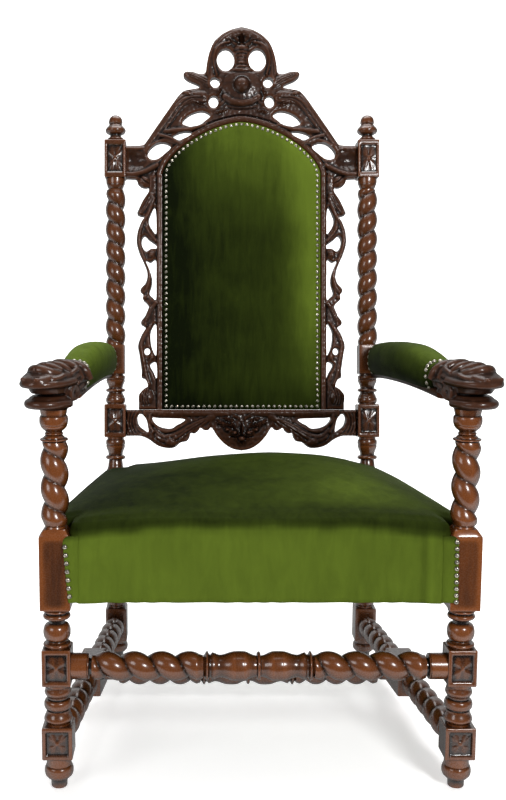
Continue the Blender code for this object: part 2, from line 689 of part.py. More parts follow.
def board_mesh(name, outline, holes):
    """A board standing in the back's plane, centred on it."""
    mesh = prism_mesh(name, outline, holes, -BOARD / 2, BOARD / 2)
    mesh.transform(Matrix.Rotation(radians(90), 4, "X"))
    return mesh


def ball_mesh(radius, squash, columns=8, rows=5):
    mesh = bpy.data.meshes.new("ball")
    bm = bmesh.new()
    bmesh.ops.create_uvsphere(bm, u_segments=columns, v_segments=rows, radius=radius)
    bmesh.ops.scale(bm, verts=bm.verts[:], vec=squash)
    bmesh.ops.triangulate(bm, faces=bm.faces[:])
    bm.to_mesh(mesh)
    bm.free()
    return mesh


def add_back(wood, velvet, collection, tools, parent):
    half = REAR_POST_SPACING / 2 - POST_STOCK / 2 - GAP

    right = scaled(CREST_EDGE, half, CREST_HEIGHT, CREST_BASE)
    left = [(-x, y) for x, y in reversed(right)]
    outline = [(0, CREST_BASE + CREST_HEIGHT)] + right + arch() + left
    holes = []
    for side in (-1, 1):
        holes += [scaled(hole, half, CREST_HEIGHT, CREST_BASE, 0, side) for hole in CREST_HOLES]
        for oval in CREST_OVALS:
            holes.append(scaled(ellipse(*oval), half, CREST_HEIGHT, CREST_BASE, 0, side))
    crest = add_mesh_object("crest_rail", board_mesh("crest", outline, holes), wood,
                            collection, parent)
    boss = add_tool("crest_boss", ball_mesh(BOSS_RADIUS, (1, 1, BOSS_TALL)), tools, parent)
    boss.location = (0, BOSS_SINK - BOARD / 2, CREST_BASE + CREST_HEIGHT * BOSS_HEIGHT)
    boolean(crest, boss, "UNION")

    length = CREST_BASE - GAP - STILE_FOOT
    for name, side in SIDES:
        start = PANEL_HALF_WIDTH + STILE_WIDTH
        edge = scaled(SCROLL_EDGE, SCROLL_REACH, length, STILE_FOOT, start, side)
        edge += [(side * PANEL_HALF_WIDTH, STILE_FOOT + length),
                 (side * PANEL_HALF_WIDTH, STILE_FOOT)]
        holes = [scaled(hole, SCROLL_REACH, length, STILE_FOOT, start, side)
                 for hole in SCROLL_HOLES]
        add_mesh_object("back_stile_" + name, board_mesh("stile", edge, holes), wood,
                        collection, parent)

    height = STILE_FOOT - GAP - RAIL_FOOT
    right = scaled(RAIL_EDGE, half, height, RAIL_FOOT)
    top = [(half, STILE_FOOT - GAP), (-half, STILE_FOOT - GAP)]
    left = [(-x, y) for x, y in reversed(right)]
    holes = []
    for side in (-1, 1):
        holes += [scaled(hole, half, height, RAIL_FOOT, 0, side) for hole in RAIL_HOLES]
    rail = add_mesh_object("lower_back_rail", board_mesh("rail", right + top + left, holes),
                           wood, collection, parent)
    mask = add_tool("rail_mask", ball_mesh(MASK_RADIUS, (MASK_WIDE, MASK_DEEP, 1)), tools,
                    parent)
    mask.location = (0, MASK_SINK - BOARD / 2, RAIL_FOOT + height / 2)
    boolean(rail, mask, "UNION")

    add_back_panel(velvet, collection, parent)


def panel_ring(inset, depth):
    """The panel's edge line, drawn in by an inset, at a depth in front of the plane."""
    half = PANEL_HALF_WIDTH - GAP - inset
    foot = STILE_FOOT + GAP + inset
    points = [(-half, foot), (0, foot), (half, foot), (half, (foot + CREST_BASE) / 2)]
    points += arch(inset + GAP)
    points.append((-half, (foot + CREST_BASE) / 2))
    return [Vector((x, -depth, z)) for x, z in points]


def add_back_panel(velvet, collection, parent):
    front = BOARD / 2
    rings = [panel_ring(0, front - PANEL_THICKNESS), panel_ring(0, front),
             panel_ring(PANEL_ROLL, front + PANEL_CROWN * 0.6),
             panel_ring(PANEL_FLAT_INSET, front + PANEL_CROWN)]
    add_mesh_object("back_panel", loft("panel", rings), velvet, collection, parent)


# Arms: a path from the rear post to the snout, and sections set square to it

def post_face(z):
    """The depth of the arm block's front face at a height."""
    up = (z - SEAT_BLOCK_TOP) / cos(RAKE)
    return SEAT_DEPTH + up * sin(RAKE) - ARM_BLOCK_STOCK / 2 / cos(RAKE)


def section(centre, turn, half_width, top, bottom, side, power=1.0):
    """Eight points round a centre, from its right-hand bottom, squarer with less power."""
    ring = []
    for k in range(8):
        angle = tau * k / 8
        c = cos(angle)
        s = sin(angle)
        across = half_width * abs(c) ** power * (1 if c > 0 else -1)
        middle = (top + bottom) / 2
        z = middle + (top - bottom) / 2 * abs(s) ** power * (1 if s > 0 else -1)
        if abs(c) < 0.01:
            across = 0
        if abs(s) < 0.01:
            z = middle
        ring.append(Vector((side * (centre[0] + across * cos(turn)),
                            centre[1] + across * sin(turn), z)))
    return ring


def arm_centre(share):
    """Share 0 at the rear post and 1 at the front of the pad."""
    front_out = FRONT_LEG_SPACING / 2 - ARM_FRONT_IN
    out = ARM_REAR_OUT + (front_out - ARM_REAR_OUT) * share ** 2
    up = (POST_BELL_LENGTH + POST_RAIL_BLOCK_HEIGHT + POST_CUP_LENGTH
          + POST_ARM_BLOCK_HEIGHT / 2)
    rear_height = SEAT_BLOCK_TOP + up * cos(RAKE)
    front_height = arm_support_top() + ARM_FRONT_RISE
    z = rear_height + (front_height - rear_height) * (1 - (1 - share) ** 2)
    rear = post_face(z) - GAP
    return out, rear + (ARM_PAD_FRONT - rear) * share, z


def arm_section(share, points, side):
    """Points (across, up) set round the arm's centre line."""
    out, y, z = arm_centre(share)
    ring = []
    for across, up in points:
        depth = post_face(z + up) - GAP if share == 0 else y
        ring.append(Vector((side * (out + across), depth, z + up)))
    return ring


def beast_ring(row, side):
    """One section of the head or jaw, from its shares."""
    ahead, out, wide, top, foot, turn, roundness = row
    base = arm_support_top() + GAP
    centre = (FRONT_LEG_SPACING / 2 + out * HEAD_HALF_WIDTH, -ahead * SNOUT_REACH)
    return section(centre, turn * HEAD_TURN, wide * HEAD_HALF_WIDTH, base + top * HEAD_HEIGHT,
                   base + foot * HEAD_HEIGHT, side, roundness)


def head_rings(side):
    """From the mane behind the pad's front end to the snout's tip."""
    wide, top, foot, roundness = MANE
    back = (-(ARM_PAD_FRONT - GAP) / SNOUT_REACH, -ARM_FRONT_IN / HEAD_HALF_WIDTH)
    rings = [beast_ring((*back, wide, top, foot, 0, roundness), side)]
    rings += [beast_ring(row, side) for row in HEAD]
    out, wide, top, foot, roundness = SNOUT
    tip = 1 - wide * HEAD_HALF_WIDTH * sin(HEAD_TURN) / SNOUT_REACH
    rings.append(beast_ring((tip, out, wide, top, foot, 1, roundness), side))
    return rings


def add_arms(wood, velvet, collection, tools, parent):
    low = -ARM_PAD_HALF_HEIGHT
    high = low + ARM_BOARD_THICKNESS
    wide = ARM_BOARD_HALF_WIDTH
    board = ((wide, low), (wide, high), (0, high), (-wide, high), (-wide, low), (0, low))
    slot_wide = wide + GAP
    slot_high = high + GAP
    w = ARM_PAD_HALF_WIDTH
    h = ARM_PAD_HALF_HEIGHT
    pad = ((w, -h), (w * 1.06, 0), (w * 0.80, h * 0.80), (0, h), (-w * 0.80, h * 0.80),
           (-w * 1.06, 0), (-w, -h), (-slot_wide, -h), (-slot_wide, slot_high),
           (slot_wide, slot_high), (slot_wide, -h))
    for name, side in SIDES:
        rings = [arm_section(share, pad, side) for share in ARM_STATIONS]
        add_mesh_object("arm_pad_" + name, loft("pad", rings), velvet, collection, parent)

        rings = [arm_section(share, board, side) for share in ARM_STATIONS]
        arm = add_mesh_object("arm_" + name, loft("arm", rings + head_rings(side)), wood,
                              collection, parent)
        jaw = loft("jaw", [beast_ring(row, side) for row in JAW])
        boolean(arm, add_tool("jaw_" + name, jaw, tools, parent), "UNION")


def build_throne():
    clear_scene()
    collection = new_collection("throne")
    tools = new_collection("cutters")
    dark_wood = finish_material("dark_carved_wood", (0.075, 0.032, 0.018), 0.35)
    warm_wood = finish_material("warm_turned_wood", (0.20, 0.075, 0.028), 0.30)
    velvet = finish_material("green_velvet", (0.10, 0.16, 0.025), 0.85)

    top = CREST_BASE + CREST_HEIGHT
    rear_reach = SEAT_DEPTH + top * sin(RAKE) + BOARD / 2 * cos(RAKE)
    whole = bpy.data.objects.new("throne_frame", None)
    whole.location = (0, (SNOUT_REACH - rear_reach) / 2, 0)
    collection.objects.link(whole)
    back = bpy.data.objects.new("back_frame", None)
    back.parent = whole
    back.location = (0, SEAT_DEPTH, SEAT_BLOCK_TOP)
    back.rotation_euler = (-RAKE, 0, 0)
    collection.objects.link(back)

    add_legs_and_posts(warm_wood, collection, whole)
    add_stretchers(warm_wood, collection, whole)
    add_seat(dark_wood, velvet, collection, tools, whole)
    add_back(dark_wood, velvet, collection, tools, back)
    add_arms(dark_wood, velvet, collection, tools, whole)
    bpy.context.view_layer.update()


build_throne()
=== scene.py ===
from math import cos, pi, radians, sin, tau

import bmesh
import bpy
import numpy as np
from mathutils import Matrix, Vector


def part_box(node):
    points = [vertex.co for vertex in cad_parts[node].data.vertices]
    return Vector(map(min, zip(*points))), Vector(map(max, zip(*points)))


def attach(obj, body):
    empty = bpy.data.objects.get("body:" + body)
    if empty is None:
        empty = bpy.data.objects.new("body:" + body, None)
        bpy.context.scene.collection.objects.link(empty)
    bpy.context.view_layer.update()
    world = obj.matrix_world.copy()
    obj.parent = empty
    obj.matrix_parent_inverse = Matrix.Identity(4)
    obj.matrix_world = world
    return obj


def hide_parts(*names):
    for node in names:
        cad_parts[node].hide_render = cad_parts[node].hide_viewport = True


bl_info = {
    "name": "Carved Throne",
    "version": (1, 0, 0),
    "blender": (4, 5, 0),
    "location": "3D View > Sidebar > Throne",
    "description": "Dresses the throne's frame: turned and carved wood, velvet and nails",
    "category": "Object",
}

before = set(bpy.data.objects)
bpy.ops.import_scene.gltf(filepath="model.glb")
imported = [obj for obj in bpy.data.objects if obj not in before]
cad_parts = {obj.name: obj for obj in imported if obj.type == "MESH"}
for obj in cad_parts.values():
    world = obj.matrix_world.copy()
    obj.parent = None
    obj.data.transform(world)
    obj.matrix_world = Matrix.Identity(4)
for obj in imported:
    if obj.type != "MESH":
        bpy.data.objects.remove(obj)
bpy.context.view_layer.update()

MM = 0.001
SIDES = (("left", -1), ("right", 1))

# Places that the frame gives
LEG_LOW, LEG_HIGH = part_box("front_leg_right")
LEG_X = (LEG_LOW.x + LEG_HIGH.x) / 2
LEG_Y = (LEG_LOW.y + LEG_HIGH.y) / 2
POST_LOW, POST_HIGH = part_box("rear_post_right")
POST_X = (POST_LOW.x + POST_HIGH.x) / 2
POST_HALF = 0.0233
POST_SIDE = POST_X - POST_HALF
SEAT_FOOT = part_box("seat_upholstery")[0].z

# The back leans from the top of the seat blocks, and its plane holds the post axes
SEAT_DEPTH = 0.590
RAKE = radians(7.4)
SEAT_BLOCK_TOP = 0.413
POST_Y = LEG_Y + SEAT_DEPTH

# Outlines of the back are drawn in the photograph's own frame of 506 x 800
BACK_CENTRE_PX = 241.4
BACK_TOP_PX = 28.0
BACK_TOP = 0.9617
BACK_SCALE = 0.002164


class ThroneSizes(bpy.types.PropertyGroup):
    """Sizes that shape the visible pieces."""
    leg_twist: bpy.props.FloatProperty(
        name="Front twist radius", description="Radius of the twists under the arms",
        default=0.0228, unit="LENGTH")
    leg_groove: bpy.props.FloatProperty(
        name="Front twist groove", description="Radius in the grooves of those twists",
        default=0.0148, unit="LENGTH")
    post_twist: bpy.props.FloatProperty(
        name="Post twist radius", description="Radius of the twists beside the back",
        default=0.0216, unit="LENGTH")
    post_groove: bpy.props.FloatProperty(
        name="Post twist groove", description="Radius in the grooves of the posts",
        default=0.0150, unit="LENGTH")
    stretcher_twist: bpy.props.FloatProperty(
        name="Stretcher twist radius", description="Radius of the front stretcher's twists",
        default=0.0238, unit="LENGTH")
    stretcher_groove: bpy.props.FloatProperty(
        name="Stretcher twist groove", description="Radius in its grooves",
        default=0.0142, unit="LENGTH")
    carving_cell: bpy.props.FloatProperty(
        name="Carving cell", description="Width of one cell of the carved boards",
        default=0.00157, unit="LENGTH")
    seat_crown: bpy.props.FloatProperty(
        name="Seat crown", description="How far the seat rises at its highest",
        default=0.056, unit="LENGTH")
    panel_crown: bpy.props.FloatProperty(
        name="Back panel crown", description="How far the back panel swells",
        default=0.013, unit="LENGTH")
    nail_radius: bpy.props.FloatProperty(
        name="Nail radius", description="Radius of a nail's domed head",
        default=0.0041, unit="LENGTH")


class ThroneFinish(bpy.types.PropertyGroup):
    """Colours of the finishes."""
    turned_light: bpy.props.FloatVectorProperty(
        name="Turned wood, light", description="Varnished wood of the turnings",
        default=(0.145, 0.0415, 0.0090), subtype="COLOR", min=0, max=1)
    turned_dark: bpy.props.FloatVectorProperty(
        name="Turned wood, dark", description="Grain and shaded side of the turnings",
        default=(0.020, 0.0070, 0.0030), subtype="COLOR", min=0, max=1)
    carved_light: bpy.props.FloatVectorProperty(
        name="Carved wood, light", description="Worn ridges of the carving",
        default=(0.078, 0.028, 0.0130), subtype="COLOR", min=0, max=1)
    carved_dark: bpy.props.FloatVectorProperty(
        name="Carved wood, dark", description="Body of the carving",
        default=(0.016, 0.0068, 0.0042), subtype="COLOR", min=0, max=1)
    # painted shade: the dark colour laid into the wood's cuts, towards its rear and foot, and on its
    # grazing rim
    wood_deep: bpy.props.FloatVectorProperty(
        name="Dirt in the cuts", description="Old varnish and dirt in the grooves",
        default=(0.0040, 0.0022, 0.0016), subtype="COLOR", min=0, max=1)
    # painted light and shade of the velvet: the colour of pile painted shaded, and of pile painted lit
    velvet_dark: bpy.props.FloatVectorProperty(
        name="Velvet, brushed down", description="Pile that lies away from the light",
        default=(0.0046, 0.0072, 0.0018), subtype="COLOR", min=0, max=1)
    velvet_light: bpy.props.FloatVectorProperty(
        name="Velvet, brushed up", description="Pile that faces the light",
        default=(0.1060, 0.1540, 0.0165), subtype="COLOR", min=0, max=1)
    nail: bpy.props.FloatVectorProperty(
        name="Nail metal", description="Antiqued metal of the nail heads",
        default=(0.55, 0.51, 0.43), subtype="COLOR", min=0, max=1)


class ThroneStage(bpy.types.PropertyGroup):
    """Camera and light."""
    lens: bpy.props.FloatProperty(
        name="Lens", description="Focal length of the camera in mm", default=48.31)
    camera_place: bpy.props.FloatVectorProperty(
        name="Camera place", description="Where the camera stands",
        default=(-0.117, -2.0234, 0.866), subtype="TRANSLATION")
    camera_pitch: bpy.props.FloatProperty(
        name="Camera pitch", description="How far the camera looks down",
        default=radians(7.36), subtype="ANGLE")
    camera_shift: bpy.props.FloatProperty(
        name="Camera shift", description="Sideways shift that the photograph's crop needs",
        default=0.0821)
    key_power: bpy.props.FloatProperty(
        name="Key light", description="Power of the soft light at the front right",
        default=78.0, unit="POWER")
    fill_power: bpy.props.FloatProperty(
        name="Fill light", description="Power of the soft light at the front left",
        default=26.0, unit="POWER")
    backdrop_power: bpy.props.FloatProperty(
        name="Backdrop light", description="Power of the light on the backdrop",
        default=120.0, unit="POWER")
    floor_glow: bpy.props.FloatProperty(
        name="Floor glow", description="How far the pale floor is lit from within", default=0.45)
    world_strength: bpy.props.FloatProperty(
        name="Surroundings", description="Brightness of the pale surroundings", default=0.14)


# Shells: points and faces gathered for one piece

class Shell:
    def __init__(self):
        self.points = []
        self.faces = []
        self.count = 0

    def add(self, points, faces):
        self.points.append(np.asarray(points, float).reshape(-1, 3))
        self.faces += [tuple(i + self.count for i in face) for face in faces]
        self.count += len(self.points[-1])

    def loops(self, loops):
        """Closed loops of equal counts, joined in turn and capped at both ends."""
        n = len(loops[0])
        faces = []
        for r in range(len(loops) - 1):
            low = r * n
            high = low + n
            for i in range(n):
                j = (i + 1) % n
                faces.append((low + i, low + j, high + j, high + i))
        last = (len(loops) - 1) * n
        faces.append(tuple(range(n - 1, -1, -1)))
        faces.append(tuple(range(last, last + n)))
        self.add(np.concatenate([np.asarray(loop, float) for loop in loops]), faces)

    def moved(self, change):
        """Another shell, with change applied to all its points at once."""
        other = Shell()
        other.add(change(np.concatenate(self.points)), self.faces)
        return other


def bulged(value, power):
    """A signed power, which makes a ring of cosines and sines boxier or rounder."""
    return abs(value) ** power * (1 if value > 0 else -1)


def relaxed(points, edges, rounds):
    """Points averaged with their neighbours along edges."""
    count = len(points)
    a, b = edges[:, 0], edges[:, 1]
    degree = np.bincount(a, minlength=count) + np.bincount(b, minlength=count)
    degree = np.maximum(degree, 1)[:, None]
    for _ in range(rounds):
        total = np.stack([np.bincount(a, points[b, k], count) + np.bincount(b, points[a, k], count)
                          for k in range(points.shape[1])], axis=1)
        points = 0.5 * points + 0.5 * total / degree
    return points


def mark_hollows(mesh, reach=0.0022, rounds=10):
    """Store how hollow each point lies, -1 on a ridge to 1 in a cut."""
    count = len(mesh.vertices)
    points = np.zeros(count * 3)
    mesh.vertices.foreach_get("co", points)
    points = points.reshape(-1, 3)
    normals = np.zeros(count * 3)
    mesh.vertex_normals.foreach_get("vector", normals)
    normals = normals.reshape(-1, 3)
    edges = np.zeros(len(mesh.edges) * 2, int)
    mesh.edges.foreach_get("vertices", edges)
    edges = edges.reshape(-1, 2)
    smooth = relaxed(points, edges, rounds)
    hollow = ((smooth - points) * normals).sum(axis=1) / reach
    hollow = relaxed(hollow[:, None], edges, 2)[:, 0]
    layer = mesh.attributes.new("hollow", "FLOAT", "POINT")
    layer.data.foreach_set("value", np.clip(hollow, -1, 1).astype(np.float32))


def put_piece(name, shell, material, nodes, sharp=48, tones=None, hollows=True):
    """Make the mesh object of a shell, ride it on the root and let it stand for nodes."""
    mesh = bpy.data.meshes.new(name)
    mesh.from_pydata(np.concatenate(shell.points).tolist(), [], shell.faces)
    mesh.validate()
    bm = bmesh.new()
    bm.from_mesh(mesh)
    bmesh.ops.remove_doubles(bm, verts=bm.verts[:], dist=0.000004)
    bmesh.ops.recalc_face_normals(bm, faces=bm.faces[:])
    bm.to_mesh(mesh)
    bm.free()
    mesh.shade_smooth()
    if sharp:
        mesh.set_sharp_from_angle(angle=radians(sharp))
    if hollows:
        mark_hollows(mesh)
    if tones is not None:
        points = np.zeros(len(mesh.vertices) * 3)
        mesh.vertices.foreach_get("co", points)
        # painted light and shade of the velvet's pile, stored on its points
        layer = mesh.attributes.new("painted_pile_light", "FLOAT", "POINT")
        layer.data.foreach_set("value", tones(points.reshape(-1, 3)).astype(np.float32))
    mesh.materials.append(material)
    piece = bpy.data.objects.new(name, mesh)
    bpy.context.scene.collection.objects.link(piece)
    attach(piece, "root")
    if nodes:
        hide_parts(*nodes)
    return piece


# Materials

def add_node(tree, kind, settings=None, **sockets):
    node = tree.nodes.new(kind)
    for key, value in (settings or {}).items():
        setattr(node, key, value)
    for key, value in sockets.items():
        node.inputs[key.replace("_", " ")].default_value = value
    return node


def ramp(tree, source, stops):
    node = tree.nodes.new("ShaderNodeValToRGB")
    elements = node.color_ramp.elements
    while len(elements) < len(stops):
        elements.new(0.5)
    for element, (at, colour) in zip(elements, stops):
        element.position = at
        element.color = (*colour, 1.0) if len(colour) == 3 else colour
    tree.links.new(source, node.inputs["Fac"])
    return node.outputs["Color"]


def mix(tree, share, first, second):
    node = tree.nodes.new("ShaderNodeMix")
    node.data_type = "RGBA"
    for value, socket in ((share, node.inputs[0]), (first, node.inputs[6]),
                          (second, node.inputs[7])):
        if isinstance(value, bpy.types.NodeSocket):
            tree.links.new(value, socket)
        elif isinstance(value, (int, float)):
            socket.default_value = value
        else:
            socket.default_value = (*value, 1.0)
    return node.outputs[2]


def mapped(tree, value, low, high, to_low=0.0, to_high=1.0):
    node = tree.nodes.new("ShaderNodeMapRange")
    for key, number in (("From Min", low), ("From Max", high), ("To Min", to_low),
                        ("To Max", to_high)):
        node.inputs[key].default_value = number
    tree.links.new(value, node.inputs["Value"])
    return node.outputs["Result"]


def noise(tree, place, scale, detail=4.0, roughness=0.55, distortion=0.0, stretch=(1, 1, 1)):
    mapping = add_node(tree, "ShaderNodeMapping")
    mapping.inputs["Scale"].default_value = stretch
    tree.links.new(place, mapping.inputs["Vector"])
    node = add_node(tree, "ShaderNodeTexNoise", Scale=scale, Detail=detail,
                    Roughness=roughness, Distortion=distortion)
    tree.links.new(mapping.outputs["Vector"], node.inputs["Vector"])
    return node.outputs["Fac"]


def bumped(tree, heights):
    """Bump nodes in a chain, one for each (height, distance, strength)."""
    normal = None
    for height, distance, strength in heights:
        node = add_node(tree, "ShaderNodeBump", Strength=strength, Distance=distance)
        tree.links.new(height, node.inputs["Height"])
        if normal:
            tree.links.new(normal, node.inputs["Normal"])
        normal = node.outputs["Normal"]
    return normal


def new_material(name):
    material = bpy.data.materials.new(name)
    material.use_nodes = True
    return material, material.node_tree, material.node_tree.nodes["Principled BSDF"]


# Varnish: roughness, wear with a painted highlight on the ridges, coat, and painted shade to the rear
# and the foot
TURNED_VARNISH = (0.20, 0.55, 0.70, 0.40)
CARVED_VARNISH = (0.30, 0.50, 0.34, 0.26)
# Depths and heights between which the wood's colour is painted darker as shade, and the facing shares
# where its rim is
PAINTED_SHADE_REAR = (-0.25, 0.20)
PAINTED_SHADE_FOOT = (0.42, 0.12)
PAINTED_SHADE_RIM = (0.16, 0.80)


def wood_material(name, light, dark, painted_shade_colour, grain, varnish):
    """Varnished wood: grain along one axis, painted shade in the cuts, to the rear, at the foot and on
    the grazing rim, and wear with a painted highlight on the ridges.
    """
    gloss, ridge_wear_and_highlight, coat, shade = varnish
    material, tree, shader = new_material(name)
    place = add_node(tree, "ShaderNodeTexCoord").outputs["Object"]
    fibres = noise(tree, place, 150.0, 6.0, 0.6, 0.4, grain)
    patches = noise(tree, place, 11.0, 3.0, 0.5, 0.3)
    middle = [0.45 * a + 0.55 * b for a, b in zip(light, dark)]
    grained = ramp(tree, fibres, [(0.30, dark), (0.52, middle), (0.72, light)])
    warm = ramp(tree, patches, [(0.36, middle), (0.62, light)])
    body = mix(tree, 0.5, grained, warm)
    hollow = add_node(tree, "ShaderNodeAttribute", {"attribute_name": "hollow"}).outputs["Fac"]
    # wear with a painted highlight: the ridges are mixed towards twice the light colour
    worn_and_highlit = mapped(tree, hollow, -0.06, -0.50, 0.0, ridge_wear_and_highlight)
    body = mix(tree, worn_and_highlit, body, [min(1.0, c * 2.0) for c in light])
    # painted shade in the cuts, where the wood lies hollow
    painted_cut_shade = mapped(tree, hollow, -0.02, 0.30, 0.0, 0.96)
    body = mix(tree, painted_cut_shade, body, painted_shade_colour)
    # painted shade: the wood's colour darkens towards the rear and towards the foot of the throne
    where = add_node(tree, "ShaderNodeSeparateXYZ")
    tree.links.new(place, where.inputs[0])
    body = mix(tree, mapped(tree, where.outputs["Y"], *PAINTED_SHADE_REAR, 0.0, shade), body, painted_shade_colour)
    body = mix(tree, mapped(tree, where.outputs["Z"], *PAINTED_SHADE_FOOT, 0.0, shade * 0.9), body, painted_shade_colour)
    # painted shade: the wood's colour darkens at its grazing edges, and its varnish hardly shines there
    facing = add_node(tree, "ShaderNodeLayerWeight", Blend=0.5).outputs["Facing"]
    body = mix(tree, mapped(tree, facing, *PAINTED_SHADE_RIM, 0.0, 0.86), body, painted_shade_colour)
    tree.links.new(body, shader.inputs["Base Color"])
    fine = noise(tree, place, 420.0, 3.0)
    rough = mapped(tree, fine, 0.3, 0.7, gloss, gloss + 0.14)
    tree.links.new(rough, shader.inputs["Roughness"])
    dents = noise(tree, place, 70.0, 3.0)
    tree.links.new(bumped(tree, [(fibres, 0.0005, 0.25), (dents, 0.0012, 0.30)]),
                   shader.inputs["Normal"])
    tree.links.new(mapped(tree, facing, 0.30, 0.80, coat * 0.4, 0.02),
                   shader.inputs["Specular IOR Level"])
    tree.links.new(mapped(tree, facing, 0.30, 0.75, coat, 0.0), shader.inputs["Coat Weight"])
    shader.inputs["Coat Roughness"].default_value = 0.17
    return material


def velvet_material(name, dark, light, streaks):
    """Velvet: painted light and shade of its pile from an attribute, streaks where it was brushed, fine
    pile and a sheen.
    """
    material, tree, shader = new_material(name)
    place = add_node(tree, "ShaderNodeTexCoord").outputs["Object"]
    painted_pile_light = add_node(tree, "ShaderNodeAttribute", {"attribute_name": "painted_pile_light"}).outputs["Fac"]
    brushed = mapped(tree, noise(tree, place, 60.0, 6.0, 0.65, 0.5, streaks), 0.3, 0.7, -0.07, 0.07)
    crushed = mapped(tree, noise(tree, place, 14.0, 3.0, 0.5, 0.4), 0.3, 0.7, -0.05, 0.05)
    total = add_node(tree, "ShaderNodeMath", {"operation": "ADD"})
    tree.links.new(painted_pile_light, total.inputs[0])
    tree.links.new(brushed, total.inputs[1])
    all_painted_pile_light = add_node(tree, "ShaderNodeMath", {"operation": "ADD", "use_clamp": True})
    tree.links.new(total.outputs[0], all_painted_pile_light.inputs[0])
    tree.links.new(crushed, all_painted_pile_light.inputs[1])
    middle = [0.70 * a + 0.30 * b for a, b in zip(dark, light)]
    body = ramp(tree, all_painted_pile_light.outputs[0], [(0.0, dark), (0.45, middle), (1.0, light)])
    tree.links.new(body, shader.inputs["Base Color"])
    pile = noise(tree, place, 1500.0, 2.0)
    cloth = noise(tree, place, 130.0, 4.0)
    tree.links.new(bumped(tree, [(pile, 0.0006, 0.35), (cloth, 0.0010, 0.22)]),
                   shader.inputs["Normal"])
    shader.inputs["Roughness"].default_value = 0.82
    shader.inputs["Specular IOR Level"].default_value = 0.02
    shader.inputs["Sheen Weight"].default_value = 0.02
    shader.inputs["Sheen Roughness"].default_value = 0.35
    shader.inputs["Sheen Tint"].default_value = (0.45, 0.70, 0.15, 1.0)
    return material


def nail_material(name, metal):
    material, tree, shader = new_material(name)
    place = add_node(tree, "ShaderNodeTexCoord").outputs["Object"]
    spots = noise(tree, place, 260.0, 3.0)
    dull = [c * 0.28 for c in metal]
    tree.links.new(ramp(tree, spots, [(0.38, dull), (0.60, metal)]), shader.inputs["Base Color"])
    tree.links.new(mapped(tree, spots, 0.3, 0.7, 0.42, 0.20), shader.inputs["Roughness"])
    tree.links.new(bumped(tree, [(spots, 0.0004, 0.3)]), shader.inputs["Normal"])
    shader.inputs["Metallic"].default_value = 1.0
    return material


UPRIGHT = (1.0, 1.0, 0.10)
CROSSWISE = (0.10, 1.0, 1.0)
LENGTHWISE = (1.0, 0.10, 1.0)
MADE = {}


def once(key, make, *settings):
    """The material of a key, made at its first use."""
    if key not in MADE:
        MADE[key] = make(key, *settings)
    return MADE[key]


def turned_wood(part, grain):
    f = bpy.context.scene.throne_finish
    return once("turned_wood_" + part, wood_material, f.turned_light, f.turned_dark, f.wood_deep,
                grain, TURNED_VARNISH)


def carved_wood(part, grain):
    f = bpy.context.scene.throne_finish
    return once("carved_wood_" + part, wood_material, f.carved_light, f.carved_dark, f.wood_deep,
                grain, CARVED_VARNISH)


def velvet(part, streaks):
    f = bpy.context.scene.throne_finish
    return once("velvet_" + part, velvet_material, f.velvet_dark, f.velvet_light, streaks)


def nail_metal():
    return once("nail_metal", nail_material, bpy.context.scene.throne_finish.nail)


# Turning: rows of (form, length, first radius, second radius) in millimetres. Each form gives
# its steps, how far along the row a step lies, and how far from the first radius to the second
FORMS = {
    "line": (2, lambda t: t, lambda t: t),
    "bead": (13, lambda t: t, lambda t: max(0.0, 1 - (2 * t - 1) ** 2) ** 0.5),
    "cove": (7, lambda t: t, lambda t: 1 - cos(t * pi / 2)),
    "hollow": (7, lambda t: t, lambda t: sin(t * pi / 2)),
    "wave": (9, lambda t: t, lambda t: 0.5 - 0.5 * cos(t * pi)),
    "dome": (10, lambda t: sin(t * pi / 2), lambda t: 1 - cos(t * pi / 2)),
}
SAME_PLACE = 0.00003


def profile(start, rows, length=None):
    """(height, radius) pairs in metres from the rows, stretched to a length if given."""
    total = sum(row[1] for row in rows)
    stretch = (length / (total * MM)) if length else 1.0
    pairs = []
    z = start
    for form, run, first, second in rows:
        run = run * MM * stretch
        steps, along, share = FORMS[form]
        for t in np.linspace(0, 1, steps):
            pairs.append((z + run * along(t), (first + (second - first) * share(t)) * MM))
        z += run
    clean = [pairs[0]]
    for pair in pairs[1:]:
        if abs(pair[0] - clean[-1][0]) + abs(pair[1] - clean[-1][1]) > SAME_PLACE:
            clean.append(pair)
    return clean


def round_rings(pairs, sides=40):
    return [(z, [(tau * k / sides, r) for k in range(sides)]) for z, r in pairs]


def twist_rings(start, length, radius, groove, turns, hand, sides=40, per_turn=22, phase0=0.0):
    """A strand wound round the axis, rounded across and sharp in its groove."""
    count = int(round(turns * per_turn))
    rings = []
    for step in range(count + 1):
        share = step / count
        ends = min(1.0, min(share, 1 - share) * turns / 0.22)
        ring = []
        for k in range(sides):
            angle = tau * k / sides
            phase = angle - hand * tau * turns * share + phase0
            swell = abs(cos(phase / 2)) ** 0.72
            swell = 0.45 + (swell - 0.45) * (0.25 + 0.75 * ends)
            ring.append((angle, groove + (radius - groove) * swell))
        rings.append((start + length * share, ring))
    return rings


def raked_place(x):
    """Upright to the seat block's top and leaning back above it."""
    def place(along, angle, radius):
        across = radius * sin(angle)
        if along <= SEAT_BLOCK_TOP:
            return (x + radius * cos(angle), POST_Y + across, along)
        up = along - SEAT_BLOCK_TOP
        return (x + radius * cos(angle), POST_Y + up * sin(RAKE) + across * cos(RAKE),
                SEAT_BLOCK_TOP + up * cos(RAKE) - across * sin(RAKE))
    return place


def upright_place(x, y):
    def place(along, angle, radius):
        return (x + radius * cos(angle), y + radius * sin(angle), along)
    return place


def crosswise_place(y, z):
    def place(along, angle, radius):
        return (along, y - radius * cos(angle), z + radius * sin(angle))
    return place


